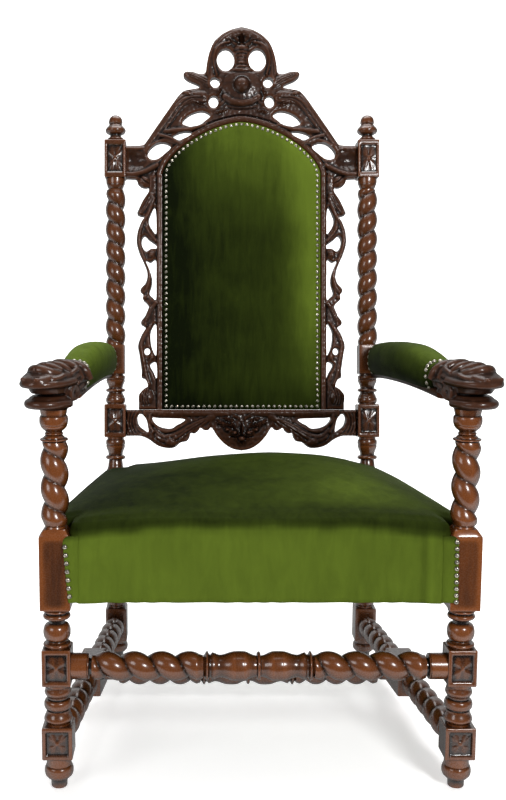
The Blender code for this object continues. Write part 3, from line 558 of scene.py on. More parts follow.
def leg_line(y):
    """How far out the line from front leg to rear post runs, at a depth."""
    share = (y - LEG_Y) / SEAT_DEPTH
    return LEG_X * (1 - share) + POST_X * share


def lengthwise_place(side, z):
    def place(along, angle, radius):
        return (side * (leg_line(along) + radius * sin(angle)), along, z + radius * cos(angle))
    return place


def add_turning(shell, rings, place):
    shell.loops([[place(z, angle, r) for angle, r in ring] for z, ring in rings])


def add_turnings(shell, turnings, place):
    """Turned lengths given as (start, rows, length)."""
    for start, rows, length in turnings:
        add_turning(shell, round_rings(profile(start, rows, length)), place)


def rosette(u, v):
    """Depth of a carved panel at places from -1 to 1: a frame, a cross of leaves, a stud."""
    edge = np.maximum(np.abs(u), np.abs(v))
    sunk = np.clip((0.76 - edge) / 0.07, 0, 1)
    r = np.hypot(u, v) / 0.70
    angle = np.arctan2(v, u)
    leaf = np.clip(np.cos(2 * (angle - pi / 4)) ** 2, 0, 1) ** 0.8
    leaf = np.where(np.abs(np.sin(2 * angle)) > 0.35, leaf, 0)
    petals = leaf * np.clip(1.25 - r, 0, 1) * np.clip(r * 5, 0, 1)
    vein = np.exp(-((np.abs(np.abs(u) - np.abs(v))) / 0.05) ** 2) * (r > 0.2)
    small = np.clip(np.cos(2 * angle) ** 2, 0, 1) ** 6 * np.clip(1.0 - r, 0, 1) * 0.55
    stud = np.sqrt(np.clip(1 - (r / 0.24) ** 2, 0, 1))
    height = np.maximum(np.maximum(petals * 0.85 - vein * 0.25, small), stud)
    return -sunk * (1.0 - 0.92 * np.clip(height, 0, 1))


def block_grid(shell, centre, half, place, carved=(), depth=0.0042, edge=0.0022, cell=0.0020):
    """A squared block with softened edges; carved names the sides that hold a panel."""
    half = np.asarray(half, float)
    for axis in range(3):
        for sign in (-1, 1):
            a, b = [k for k in range(3) if k != axis]
            name = ("-x", "+x", "-y", "+y", "-z", "+z")[axis * 2 + (sign > 0)]
            counts = [max(6, int(round(2 * half[k] / cell / (1 if carved else 2)))) for k in (a, b)]
            us = half[a] * np.linspace(-1, 1, counts[0] + 1)
            vs = half[b] * np.linspace(-1, 1, counts[1] + 1)
            grid_u, grid_v = np.meshgrid(us, vs, indexing="ij")
            points = np.zeros(grid_u.shape + (3,))
            points[..., a] = grid_u
            points[..., b] = grid_v
            points[..., axis] = sign * half[axis]
            inner = np.clip(points, -(half - edge), half - edge)
            out = points - inner
            size = np.linalg.norm(out, axis=-1, keepdims=True)
            points = inner + out / np.maximum(size, 1e-9) * edge
            if name in carved:
                points[..., axis] += sign * depth * rosette(grid_u / half[a], grid_v / half[b])
            flat = points.reshape(-1, 3) + np.asarray(centre, float)
            n, m = grid_u.shape
            faces = [(i * m + j, (i + 1) * m + j, (i + 1) * m + j + 1, i * m + j + 1)
                     for i in range(n - 1) for j in range(m - 1)]
            shell.add(place(flat), faces)


def straight(points):
    return points


def raked_points(points):
    """Points given as (x, across, along the post) put on the leaning back."""
    out = points.copy()
    up = points[:, 2] - SEAT_BLOCK_TOP
    across = points[:, 1]
    out[:, 1] = POST_Y + up * sin(RAKE) + across * cos(RAKE)
    out[:, 2] = SEAT_BLOCK_TOP + up * cos(RAKE) - across * sin(RAKE)
    return out


LEG_FOOT = (("line", 1.6, 12.0, 13.2), ("line", 12.0, 13.2, 13.9), ("hollow", 5.0, 13.9, 19.5),
            ("bead", 20.0, 19.5, 24.0), ("line", 4.0, 20.5, 20.5), ("line", 11.0, 20.5, 19.5))
LEG_LOW_TURNING = (("line", 3.0, 20.0, 20.0), ("wave", 7.0, 20.0, 23.4), ("wave", 15.0, 23.4, 19.0),
                   ("line", 2.5, 17.0, 17.0), ("bead", 17.0, 18.5, 23.0), ("line", 2.5, 16.5, 16.5),
                   ("wave", 10.0, 18.0, 22.0), ("wave", 9.0, 22.0, 20.0), ("line", 7.0, 19.5, 19.5))
LEG_MID_TURNING = (("line", 2.0, 19.5, 19.5), ("bead", 7.5, 18.5, 22.8), ("hollow", 3.0, 17.5, 15.0),
                   ("bead", 31.0, 14.5, 22.4), ("line", 5.0, 13.2, 12.8), ("cove", 3.0, 13.0, 17.5),
                   ("bead", 9.0, 18.0, 22.4), ("line", 2.5, 17.5, 17.5), ("bead", 5.5, 19.0, 22.0),
                   ("line", 3.0, 19.0, 19.0))
LEG_SHOULDER = (("line", 6.0, 17.0, 16.0), ("bead", 6.0, 14.0, 17.5), ("cove", 4.0, 14.0, 13.5))
LEG_CUP = (("line", 2.0, 13.8, 13.8), ("bead", 5.0, 17.0, 22.6), ("cove", 5.0, 17.5, 13.0),
           ("bead", 4.0, 12.8, 14.8), ("line", 2.0, 13.0, 13.5), ("hollow", 10.0, 13.5, 21.5),
           ("bead", 15.0, 21.3, 23.0), ("line", 10.5, 20.0, 22.4))


# Turned lengths of the leg: where each starts, its rows and its length
LEG_TURNINGS = ((0.0, LEG_FOOT, None), (0.1085, LEG_LOW_TURNING, 0.0717),
                (0.2400, LEG_MID_TURNING, 0.0678), (0.4400, LEG_SHOULDER, 0.0085),
                (0.5797, LEG_CUP, 0.0535))
# Blocks of the leg: underside, top, stock, and whether its outer sides are carved
LEG_BLOCKS = ((0.0544, 0.1094, 0.050, True), (0.1793, 0.2409, 0.047, True),
              (0.3069, 0.4310, 0.050, False))
# Heights and widths of the chamfer over the top block, and how square its rings are
LEG_CHAMFER = ((0.4297, 0.0485), (0.4310, 0.0480), (0.4390, 0.0370), (0.4405, 0.0345))
CHAMFER_SQUARENESS = 14
LEG_TWIST_START = 0.4465
LEG_TWIST_LENGTH = 0.1340
LEG_TWIST_TURNS = 3.05


def front_leg(side, sizes):
    """One turned leg from its foot to the cup under the arm."""
    shell = Shell()
    x = side * LEG_X
    place = upright_place(x, LEG_Y)
    add_turnings(shell, LEG_TURNINGS, place)
    outer = ("-y", "+x" if side > 0 else "-x")
    for low, high, stock, carved in LEG_BLOCKS:
        block_grid(shell, (x, LEG_Y, (low + high) / 2), (stock / 2, stock / 2, (high - low) / 2),
                   straight, outer if carved else ())
    chamfer = []
    for z, width in LEG_CHAMFER:
        ring = []
        for k in range(40):
            angle = tau * k / 40
            c, s = abs(cos(angle)), abs(sin(angle))
            square = (c ** CHAMFER_SQUARENESS + s ** CHAMFER_SQUARENESS) ** (1 / CHAMFER_SQUARENESS)
            ring.append((angle, width / 2 / square))
        chamfer.append((z, ring))
    add_turning(shell, chamfer, place)
    add_turning(shell, twist_rings(LEG_TWIST_START, LEG_TWIST_LENGTH, sizes.leg_twist,
                                   sizes.leg_groove, LEG_TWIST_TURNS, -1, per_turn=34,
                                   phase0=0.9), place)
    return shell


POST_FOOT = (("line", 1.6, 12.0, 13.2), ("line", 10.0, 13.2, 13.9), ("hollow", 5.0, 13.9, 19.5),
             ("bead", 18.0, 19.5, 23.6), ("line", 7.5, 20.0, 20.0))
POST_LOW_TURNING = (("line", 4.0, 18.0, 18.0), ("bead", 11.0, 17.5, 21.0), ("cove", 8.0, 17.5, 13.5),
                    ("wave", 38.0, 13.5, 20.8), ("line", 3.0, 20.5, 20.5), ("wave", 60.0, 20.8, 14.0),
                    ("cove", 8.0, 14.0, 17.5), ("bead", 12.0, 17.5, 21.0), ("line", 5.0, 18.0, 18.0))
POST_LOW_BELL = (("line", 2.0, 19.0, 19.0), ("wave", 14.0, 20.0, 16.0), ("wave", 12.0, 16.0, 14.5),
                 ("bead", 9.0, 16.0, 21.2), ("line", 2.0, 15.5, 15.5), ("wave", 18.0, 15.5, 20.6),
                 ("bead", 12.0, 19.0, 21.0), ("line", 6.0, 18.0, 18.0))
POST_ARM_CUP = (("line", 3.0, 18.0, 18.0), ("bead", 13.0, 18.5, 21.0), ("wave", 10.0, 19.0, 15.0),
                ("bead", 8.0, 15.5, 21.0), ("line", 2.0, 15.0, 15.0), ("wave", 16.0, 15.5, 20.4),
                ("bead", 9.0, 18.5, 20.6), ("line", 4.0, 17.0, 17.0))
POST_TOP_NECK = (("line", 3.0, 14.5, 14.5), ("hollow", 10.0, 14.5, 18.5), ("line", 5.0, 19.6, 20.6),
                 ("line", 6.5, 20.6, 20.6))
FINIAL = (("line", 2.0, 16.5, 16.5), ("bead", 6.5, 14.0, 17.5), ("cove", 3.0, 13.5, 12.2),
          ("line", 3.0, 11.6, 11.6), ("hollow", 6.0, 12.4, 20.5), ("bead", 7.0, 20.6, 22.0),
          ("wave", 8.0, 20.6, 15.0), ("line", 1.5, 12.4, 12.4), ("wave", 4.0, 13.4, 15.2),
          ("line", 4.0, 15.2, 14.6), ("dome", 12.5, 14.6, 0.4))


# Turned lengths of the post, measured along its lean
POST_TURNINGS = ((0.0, POST_FOOT, None), (0.1135, POST_LOW_TURNING, 0.1910),
                 (0.4120, POST_LOW_BELL, 0.0790), (0.5600, POST_ARM_CUP, 0.0670),
                 (1.0210, POST_TOP_NECK, 0.0270), (1.1280, FINIAL, 0.0575))
# Blocks of the post: underside, top, stock, whether it leans and whether its front is carved
POST_BLOCKS = ((0.0415, 0.115, 0.046, False, False), (0.303, SEAT_BLOCK_TOP, 0.046, False, False),
               (0.490, 0.561, 0.046, True, True), (0.626, 0.689, 0.041, True, False),
               (1.048, 1.129, 0.046, True, True))
POST_TWIST_START = 0.6875
POST_TWIST_LENGTH = 0.3360
POST_TWIST_TURNS = 8.0


def rear_post(side, sizes):
    """One post, upright to the seat and leaning back above it, up to its finial."""
    shell = Shell()
    x = side * POST_X
    place = raked_place(x)
    add_turnings(shell, POST_TURNINGS, place)
    add_turning(shell, twist_rings(POST_TWIST_START, POST_TWIST_LENGTH, sizes.post_twist,
                                   sizes.post_groove, POST_TWIST_TURNS, side, per_turn=24,
                                   phase0=pi), place)
    for low, high, stock, leans, carved in POST_BLOCKS:
        centre = (x, 0.0 if leans else POST_Y, (low + high) / 2)
        block_grid(shell, centre, (stock / 2, stock / 2, (high - low) / 2),
                   raked_points if leans else straight, ("-y",) if carved else ())
    return shell


VASE_HALF = (("line", 1.5, 15.0, 15.0), ("wave", 6.0, 17.0, 24.2), ("wave", 4.0, 24.2, 18.5),
             ("line", 2.0, 18.5, 18.5), ("wave", 2.5, 20.0, 22.0), ("wave", 11.0, 21.5, 18.0),
             ("wave", 24.0, 18.0, 23.8), ("bead", 12.0, 23.6, 24.0), ("wave", 20.0, 23.8, 17.0))
VASE_RING = (("line", 1.0, 16.5, 16.5), ("bead", 6.5, 18.5, 23.2), ("line", 1.0, 16.5, 16.5))


def mirrored_rows(rows):
    """The same turning from its other end."""
    swap = {"cove": "hollow", "hollow": "cove"}
    return tuple((form, run, a, b) if form == "bead" else (swap.get(form, form), run, b, a)
                 for form, run, a, b in reversed(rows))


VASE_LENGTH = 0.0925
CROSS_TWIST_PITCH = 0.0415


def cross_stretcher_shell(half, plain, end_radius, y, z, sizes):
    """A stretcher along X: plain ends, a twist on each side, and a double vase."""
    shell = Shell()
    place = crosswise_place(y, z)
    twist = half - plain - VASE_LENGTH
    turns = max(1, round(twist / CROSS_TWIST_PITCH))
    end = end_radius / MM
    rows = (("line", (plain - 0.009) / MM, end, end), ("bead", 3.0, end - 2.5, end - 0.5),
            ("line", 6.0, end * 0.62, end * 0.62))
    add_turnings(shell, ((-half, rows, None), (half - plain, mirrored_rows(rows), plain)), place)
    for start in (-half + plain, VASE_LENGTH):
        add_turning(shell, twist_rings(start - 0.001, twist + 0.002, sizes.stretcher_twist,
                                       sizes.stretcher_groove, turns, -1, per_turn=30,
                                       phase0=1.2), place)
    middle = profile(-VASE_LENGTH, VASE_HALF, VASE_LENGTH - 0.004)
    middle += profile(-0.0042, VASE_RING, 0.0084)
    middle += profile(0.004, mirrored_rows(VASE_HALF), VASE_LENGTH - 0.004)
    add_turning(shell, round_rings(middle), place)
    return shell


SIDE_BLOCK = (0.024, 0.045, 0.032)
SIDE_END = (("line", 6.0, 16.0, 16.0), ("bead", 5.0, 15.0, 18.5), ("line", 3.0, 14.0, 14.0))
SIDE_END_LENGTH = 0.014
SIDE_TWIST = 0.0222
SIDE_GROOVE = 0.0150
SIDE_TWIST_PITCH = 0.045


def side_stretcher_shell(side):
    """A twisted stretcher from leg to post with a square block at its middle."""
    shell = Shell()
    low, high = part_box("side_stretcher_left")
    middle = (low.y + high.y) / 2
    height = (low.z + high.z) / 2
    place = lengthwise_place(side, height)
    for start, stop in ((low.y, middle - SIDE_BLOCK[1]), (middle + SIDE_BLOCK[1], high.y)):
        run = stop - start
        add_turnings(shell, ((start, SIDE_END, None),
                             (stop - SIDE_END_LENGTH, mirrored_rows(SIDE_END), None)), place)
        add_turning(shell, twist_rings(start + SIDE_END_LENGTH - MM, run - 2 * SIDE_END_LENGTH + 2 * MM,
                                       SIDE_TWIST, SIDE_GROOVE, round(run / SIDE_TWIST_PITCH), 1,
                                       per_turn=26), place)

    def slanted(points):
        out = points.copy()
        out[:, 0] = side * (leg_line(points[:, 1]) + points[:, 0])
        return out
    block_grid(shell, (0, middle, height), SIDE_BLOCK, slanted)
    return shell


# Carved boards: an outline with holes, and heights over its front

BOARD_BACK = -0.013


def spline(pts, spans, per_span):
    """Points on a smooth curve, over spans that each name four of its points."""
    out = []
    for span in spans:
        p0, p1, p2, p3 = (pts[k] for k in span)
        for t in np.arange(per_span) / per_span:
            out.append(0.5 * (2 * p1 + (p2 - p0) * t + (2 * p0 - 5 * p1 + 4 * p2 - p3) * t * t
                              + (3 * p1 - p0 - 3 * p2 + p3) * t ** 3))
    return out


def smooth_loop(points, per_span=5):
    """A closed curve through points."""
    pts = np.asarray(points, float)
    n = len(pts)
    return np.array(spline(pts, [(i - 1, i, (i + 1) % n, (i + 2) % n) for i in range(n)], per_span))


def smooth_path(points, per_span=6):
    """An open curve through points, which may carry more than two numbers each."""
    pts = np.asarray(points, float)
    pts = np.vstack([2 * pts[0] - pts[1], pts, 2 * pts[-1] - pts[-2]])
    spans = [(i - 1, i, i + 1, i + 2) for i in range(1, len(pts) - 2)]
    return np.array(spline(pts, spans, per_span) + [pts[-2]])


def on_back(points):
    """Half-outline points from the photograph's frame to (out from the middle, up the rake)."""
    pts = np.asarray(points, float)
    out = pts.copy()
    out[:, 0] = (BACK_CENTRE_PX - pts[:, 0]) * BACK_SCALE
    out[:, 1] = BACK_TOP - (pts[:, 1] - BACK_TOP_PX) * BACK_SCALE
    return out


AT_ONCE = 20000


def nearest(points, line, closed=False):
    """Distance from each point to a line, and the share along it of the nearest place."""
    a = line
    b = np.roll(line, -1, axis=0)
    if not closed:
        a, b = a[:-1], b[:-1]
    run = b - a
    lengths = np.maximum((run ** 2).sum(1), 1e-12)
    best = np.full(len(points), 1e9)
    share = np.zeros(len(points))
    for start in range(0, len(points), AT_ONCE):
        part = points[start:start + AT_ONCE]
        rel = part[:, None, :] - a[None]
        t = np.clip((rel * run[None]).sum(2) / lengths[None], 0, 1)
        gap = rel - t[..., None] * run[None]
        d = (gap ** 2).sum(2)
        k = d.argmin(1)
        rows = np.arange(len(part))
        best[start:start + AT_ONCE] = np.sqrt(d[rows, k])
        share[start:start + AT_ONCE] = (k + t[rows, k]) / len(a)
    return best, share


def inside(points, loops):
    """Even-odd test of points against closed loops."""
    result = np.zeros(len(points), bool)
    x, y = points[:, 0], points[:, 1]
    for loop in loops:
        for (x1, y1), (x2, y2) in zip(loop, np.roll(loop, -1, axis=0)):
            if y1 == y2:
                continue
            crosses = (y1 > y) != (y2 > y)
            at = x1 + (y - y1) * (x2 - x1) / (y2 - y1)
            result ^= crosses & (x < at)
    return result


def signed_gap(points, loops):
    """Distance to the outline, positive inside the material."""
    best = np.full(len(points), 1e9)
    for loop in loops:
        d, _ = nearest(points, loop, True)
        best = np.minimum(best, d)
    return np.where(inside(points, loops), best, -best)


def gap_slope(points, loops, step):
    """How fast the distance to the outline grows along each axis."""
    return [(signed_gap(points + move, loops) - signed_gap(points - move, loops)) / (2 * step)
            for move in (np.array((step, 0.0)), np.array((0.0, step)))]


def board_sheet(loops, cell):
    """A grid of quads that fills an outline, with its border pulled onto the outline."""
    everything = np.concatenate(loops)
    low = everything.min(0) - cell * 1.5
    high = everything.max(0) + cell * 1.5
    nx, ny = (np.ceil((high - low) / cell)).astype(int) + 1
    gx, gy = np.meshgrid(low[0] + cell * np.arange(nx), low[1] + cell * np.arange(ny),
                         indexing="ij")
    points = np.stack([gx.ravel(), gy.ravel()], 1)
    gap = signed_gap(points, loops)
    grid = gap.reshape(nx, ny)
    keep = ((grid[:-1, :-1] > -0.45 * cell) & (grid[1:, :-1] > -0.45 * cell)
            & (grid[1:, 1:] > -0.45 * cell) & (grid[:-1, 1:] > -0.45 * cell))
    # quads of the cells inside, on points numbered afresh
    i, j = np.nonzero(keep)
    index = i * ny + j
    quads = np.stack([index, index + ny, index + ny + 1, index + 1], 1)
    used = np.unique(quads)
    renumber = np.full(nx * ny, -1)
    renumber[used] = np.arange(len(used))
    quads = renumber[quads]
    points = points[used]
    edges = np.concatenate([quads[:, [k, (k + 1) % 4]] for k in range(4)])
    key = np.sort(edges, 1)
    _, first, counts = np.unique(key, axis=0, return_index=True, return_counts=True)
    border = edges[first[counts == 1]]
    rim = np.unique(border)
    for _ in range(3):
        here = points[rim]
        g0 = signed_gap(here, loops)
        gx, gy = gap_slope(here, loops, cell * 0.2)
        size = np.maximum(np.hypot(gx, gy), 0.35)
        move = np.stack([gx, gy], 1) / (size ** 2)[:, None] * g0[:, None]
        length = np.maximum(np.hypot(move[:, 0], move[:, 1]), 1e-12)
        move *= np.minimum(1.0, cell * 0.8 / length)[:, None]
        points[rim] = here - move
    return points, quads, border, rim


def carved_board(loops, cell, heights, back):
    """Front and back sheets and the wall between them, in (x, up, forward)."""
    points, quads, border, rim = board_sheet(loops, cell)
    gap = np.maximum(signed_gap(points, loops), 0)
    gap[rim] = 0
    front = heights(points, gap)
    count = len(points)
    shell = Shell()
    top = np.column_stack([points, front])
    low = np.column_stack([points, np.full(count, back)])
    faces = [tuple(q) for q in quads.tolist()]
    faces += [tuple(q[::-1]) for q in (quads + count).tolist()]
    mid = np.column_stack([points[rim], (front[rim] + back) / 2])
    where = {v: 2 * count + k for k, v in enumerate(rim.tolist())}
    for a, b in border.tolist():
        faces.append((b, a, where[a], where[b]))
        faces.append((where[b], where[a], a + count, b + count))
    shell.add(np.concatenate([top, low, mid]), faces)
    return shell


def back_points(points):
    """(x, up the rake, forward) to places on the leaning back."""
    x, up, forward = points[:, 0], points[:, 1], points[:, 2]
    return np.column_stack([x, POST_Y + up * sin(RAKE) - forward * cos(RAKE),
                            SEAT_BLOCK_TOP + up * cos(RAKE) + forward * sin(RAKE)])


class Relief:
    """Heights over a board, in metres, built up from rounded strands, ridges and bumps.

    Both halves of the back are alike, so every form is looked up at (|x|, up)."""

    def __init__(self, points, gap, base, swell, reach):
        self.place = np.column_stack([np.abs(points[:, 0]), points[:, 1]])
        round_over = np.sqrt(1 - (1 - np.minimum(gap / reach, 1)) ** 2)
        self.height = base + swell * round_over
        self.gap = gap

    def raise_to(self, heights):
        self.height = np.maximum(self.height, heights)

    def around(self, centre, angle, long, wide):
        """Places as shares of a form's half length and half width, at its angle."""
        x, y = on_back([centre])[0]
        dx, dy = self.place[:, 0] - x, self.place[:, 1] - y
        c, s = cos(angle), sin(angle)
        return (dx * c + dy * s) / (long * BACK_SCALE), (dy * c - dx * s) / (wide * BACK_SCALE)

    def ridge(self, path, width, height, taper=0.0):
        """A rounded strand along a path, on top of what is there."""
        d, share = nearest(self.place, smooth_path(on_back(path)))
        narrow = width * (1 - taper * share)
        form = np.sqrt(1 - np.clip(d / narrow, 0, 1) ** 2)
        self.raise_to(np.where(d < narrow, 0.002 + height * form, -1))

    def groove(self, path, width, depth):
        d, _ = nearest(self.place, smooth_path(on_back(path)))
        self.height = self.height - depth * np.exp(-(d / width) ** 2)

    def bump(self, centre, wide, tall, height, tilt=0.0):
        u, v = self.around(centre, tilt, wide, tall)
        form = np.sqrt(np.clip(1 - u * u - v * v, 0, 1))
        self.raise_to(np.where(form > 0, height * form, -1))

    def leaf(self, centre, angle, long, wide, height, veins=3):
        """A pointed leaf with veins, from its centre, lying at an angle."""
        u, v = self.around(centre, angle, long, wide)
        form = np.clip(np.clip(1 - u * u, 0, 1) - np.abs(v), 0, 1) ** 0.5
        form = form * (0.82 + 0.18 * np.cos(np.clip(np.abs(v), 0, 1) * veins * tau))
        self.raise_to(np.where(form > 0, height * form, -1))


# Lengths of the gouge marks on the carving, and their shares of its depth
TOOL_MARKS = ((0.0125, 0.62), (0.0070, 0.38))


def tooled(relief, seed, depth):
    """The relief's heights with small uneven gouge marks, fading toward its outline."""
    pick = np.random.default_rng(seed)
    marks = np.zeros(len(relief.place))
    for size, share in TOOL_MARKS:
        for _ in range(7):
            angle = pick.uniform(0, pi)
            wave = tau / (size * pick.uniform(0.7, 1.5))
            along = relief.place[:, 0] * cos(angle) + relief.place[:, 1] * sin(angle)
            bend = relief.place[:, 1] * cos(angle) - relief.place[:, 0] * sin(angle)
            phase = pick.uniform(0, tau)
            marks += share / 1.9 * np.sin(wave * along + 1.4 * np.sin(bend * wave * 0.31) + phase)
    return relief.height + depth * marks * np.clip(relief.gap / 0.004, 0, 1)


def hole_pair(points):
    """A hole and its mirror image."""
    loop = smooth_loop(on_back(points))
    return [loop, loop * (-1, 1)]


def oval(centre, wide, tall, count=22):
    return [(centre[0] + wide * cos(tau * k / count), centre[1] + tall * sin(tau * k / count))
            for k in range(count)]


PANEL_HALF = 0.1695
PANEL_FOOT = 0.136
PANEL_SPRING = 0.6435
PANEL_RISE = 0.1125
PANEL_POWER = 1.57
JOINT_GAP = 0.0003
CREST_OUTLINE = (
    (241.4, 27.5), (233.0, 29.6), (222.4, 35.0), (217.5, 39.0), (213.3, 43.3), (208.8, 55.0),
    (206.5, 66.0), (205.3, 73.2), (199.6, 74.4), (191.9, 72.2), (185.4, 72.8), (183.4, 76.0),
    (188.2, 80.6), (197.6, 84.8), (199.8, 88.0), (191.0, 89.8), (183.6, 91.6), (177.2, 98.0),
    (171.4, 106.4), (163.8, 117.0), (155.0, 129.6), (147.0, 141.4), (143.4, 145.3), (134.0, 146.2),
    (126.2, 146.4))
CREST_UNDER = (
    (126.2, 178.6), (131.5, 178.8), (136.4, 179.5), (138.2, 184.2), (143.0, 187.6), (149.0, 187.0),
    (152.0, 181.0), (155.0, 177.4))
CREST_HOLES = (
    ((182.1, 123.5), (186.8, 117.0), (195.1, 112.6), (204.0, 111.6), (210.4, 116.1),
     (204.5, 121.7), (198.9, 126.2), (189.6, 127.0)),
    ((172.8, 136.6), (178.4, 133.4), (185.8, 131.9), (192.4, 132.9), (188.6, 137.2),
     (180.2, 140.4), (174.7, 139.4)),
    ((147.6, 155.2), (149.9, 149.7), (156.9, 144.0), (165.3, 143.3), (171.0, 147.2),
     (164.4, 154.3), (157.5, 159.4), (150.4, 159.4)),
    oval((225.6, 60.3), 8.8, 11.4), oval((214.9, 83.3), 5.0, 5.0), oval((213.5, 102.3), 4.9, 6.1))


def panel_arch(inset=0.0, steps=60):
    """The panel's head from its right spring over the top to its left spring."""
    half = PANEL_HALF - inset
    rise = PANEL_RISE - inset
    points = []
    for k in range(steps + 1):
        angle = pi * k / steps
        c = cos(angle)
        x = half * bulged(c, 2 / PANEL_POWER)
        points.append((x, PANEL_SPRING + rise * abs(sin(angle)) ** (2 / PANEL_POWER)))
    return np.array(points)


def crest_shell(sizes):
    """The crest rail: hood, shield, horn leaves, leaf rails, arch band and side tongues."""
    left = smooth_path(on_back(CREST_OUTLINE), 5)
    left[-1, 0] = POST_SIDE
    under = smooth_path(on_back(CREST_UNDER), 4)
    under[0, 0] = POST_SIDE
    foot = np.array([(PANEL_HALF + 0.013, PANEL_SPRING)])
    half = np.vstack([left, under, foot])
    mirror = half[::-1] * (-1, 1)
    # on_back gives the distance out, so the first half lies on the right
    outline = np.vstack([half, panel_arch(-JOINT_GAP), mirror[:-1]])
    loops = [outline]
    for hole in CREST_HOLES:
        loops += hole_pair(hole)

    def heights(points, gap):
        r = Relief(points, gap, 0.001, 0.006, 0.006)
        # band round the arch, and its inner moulding
        arch_gap, _ = nearest(r.place, panel_arch())
        band = np.clip(1 - ((arch_gap - 0.0080) / 0.0072) ** 2, 0, 1)
        r.height = np.maximum(r.height, 0.0045 + 0.0065 * np.sqrt(band) * (band > 0))
        r.height = r.height - 0.0026 * np.exp(-((arch_gap - 0.0158) / 0.0015) ** 2)
        # leaf rails with their flutes
        rail = ((202, 98), (190, 98.5), (181, 103.5), (172, 115), (162, 129), (153, 141), (146, 151))
        r.ridge(rail, 0.0165, 0.0100, 0.45)
        for shift, depth in ((-5.4, 0.0014), (-1.8, 0.0026), (3.2, 0.0016)):
            path = [(x - shift * (0.55 + 0.04 * k), y - shift * (0.42 + 0.05 * k))
                    for k, (x, y) in enumerate(rail)]
            r.groove(path, 0.0016, depth)
        r.bump((188, 94.5), 6.5, 3.6, 0.0135, tilt=0.2)
        r.leaf((197, 103.5), 0.35, 14, 5.0, 0.0125)
        # struts between the holes
        r.ridge(((165, 132.5), (178, 130.5), (192, 129.4), (205, 125.5)), 0.0070, 0.0100, 0.3)
        r.ridge(((152, 146.5), (165, 140.6), (176, 143.5), (188, 141.0)), 0.0062, 0.0095, 0.2)
        r.ridge(((160, 136), (171, 139.2), (180, 145)), 0.0060, 0.0110, 0.2)
        # horn leaves
        r.ridge(((209, 84), (200, 80), (187, 75.5)), 0.0125, 0.0100, 0.35)
        for shift in (-2.4, 0.2, 2.8):
            r.groove(((207, 84 + shift), (199, 79.6 + shift * 0.9), (188, 75.4 + shift * 0.5)),
                     0.0009, 0.0026)
        # hood band with a carved tuft at its top
        r.ridge(((210.8, 80), (211.0, 66), (214.2, 53), (221, 42.5), (230, 36.0), (241.4, 33.5)),
                0.0120, 0.0100)
        r.ridge(((216.5, 76), (213.6, 64), (215.6, 52), (221.5, 45.5), (229, 43.5)), 0.0036, 0.0135)
        r.groove(((209.0, 76), (209.8, 64), (213.4, 50), (221, 39.5), (231, 33)), 0.0013, 0.0016)
        for centre, angle, long, wide, high in (
                ((241.4, 38.0), pi / 2, 9, 4.4, 0.0165), ((235.0, 38.0), 2.2, 8, 4.0, 0.0150),
                ((229.0, 40.5), 2.6, 8, 3.8, 0.0140), ((236.0, 46.0), 2.5, 7, 3.2, 0.0160),
                ((241.4, 46.5), 0.0, 6, 3.2, 0.0170), ((223.0, 45.0), 2.3, 7, 3.2, 0.0130)):
            r.leaf(centre, pi - angle, long, wide, high)
        # vase neck over the shield
        for y, wide, high in ((49.0, 8.6, 0.0150), (52.5, 7.8, 0.0140), (56.5, 6.6, 0.0125),
                              (60.5, 5.6, 0.0120), (64.0, 6.0, 0.0130), (67.5, 9.0, 0.0140),
                              (71.0, 13.5, 0.0140)):
            r.bump((241.4, y), wide, 3.4, high)
        r.groove(((241.4, 51.8), (232, 51.8)), 0.0010, 0.0025)
        r.groove(((241.4, 66.0), (230, 66.0)), 0.0010, 0.0025)
        # shield with its ball, rim and collar
        r.bump((241.4, 88.0), 23.0, 21.0, 0.0150)
        r.ridge(((225.0, 98.0), (232.0, 102.0), (241.4, 103.6)), 0.0095, 0.0130)
        r.bump((241.4, 86.5), 14.0, 13.0, 0.0190)
        r.bump((241.4, 86.4), 9.4, 9.4, 0.0290)
        r.groove(((227.0, 108.5), (233, 109.6), (241.4, 110.0)), 0.0014, 0.0020)
        for centre, angle in (((219, 93), 1.2), ((222.5, 103.5), 0.7), ((220.5, 112.5), 0.2)):
            r.leaf(centre, pi - angle, 8.5, 3.4, 0.0140)
        # hollowed tongues to the posts, with a roll under them
        r.ridge(((124, 149.2), (134, 149.4), (143, 149.2)), 0.0055, 0.0085)
        r.ridge(((124, 174.5), (134, 174.8), (145, 172), (157, 166)), 0.0070, 0.0115)
        dx = r.place[:, 0] - (BACK_CENTRE_PX - 134) * BACK_SCALE
        dy = r.place[:, 1] - (BACK_TOP - (161.5 - BACK_TOP_PX) * BACK_SCALE)
        hollow = np.clip(1 - (dx / 0.030) ** 2 - (dy / 0.020) ** 2, 0, 1)
        r.height = r.height - 0.0085 * hollow
        r.bump((144, 181.5), 7.0, 6.4, 0.0135)
        r.groove(((139.5, 176.5), (143.5, 181), (149, 184)), 0.0012, 0.0035)
        r.height = tooled(r, 1, 0.00022)
        return r.height

    return carved_board(loops, sizes.carving_cell, heights, BOARD_BACK)


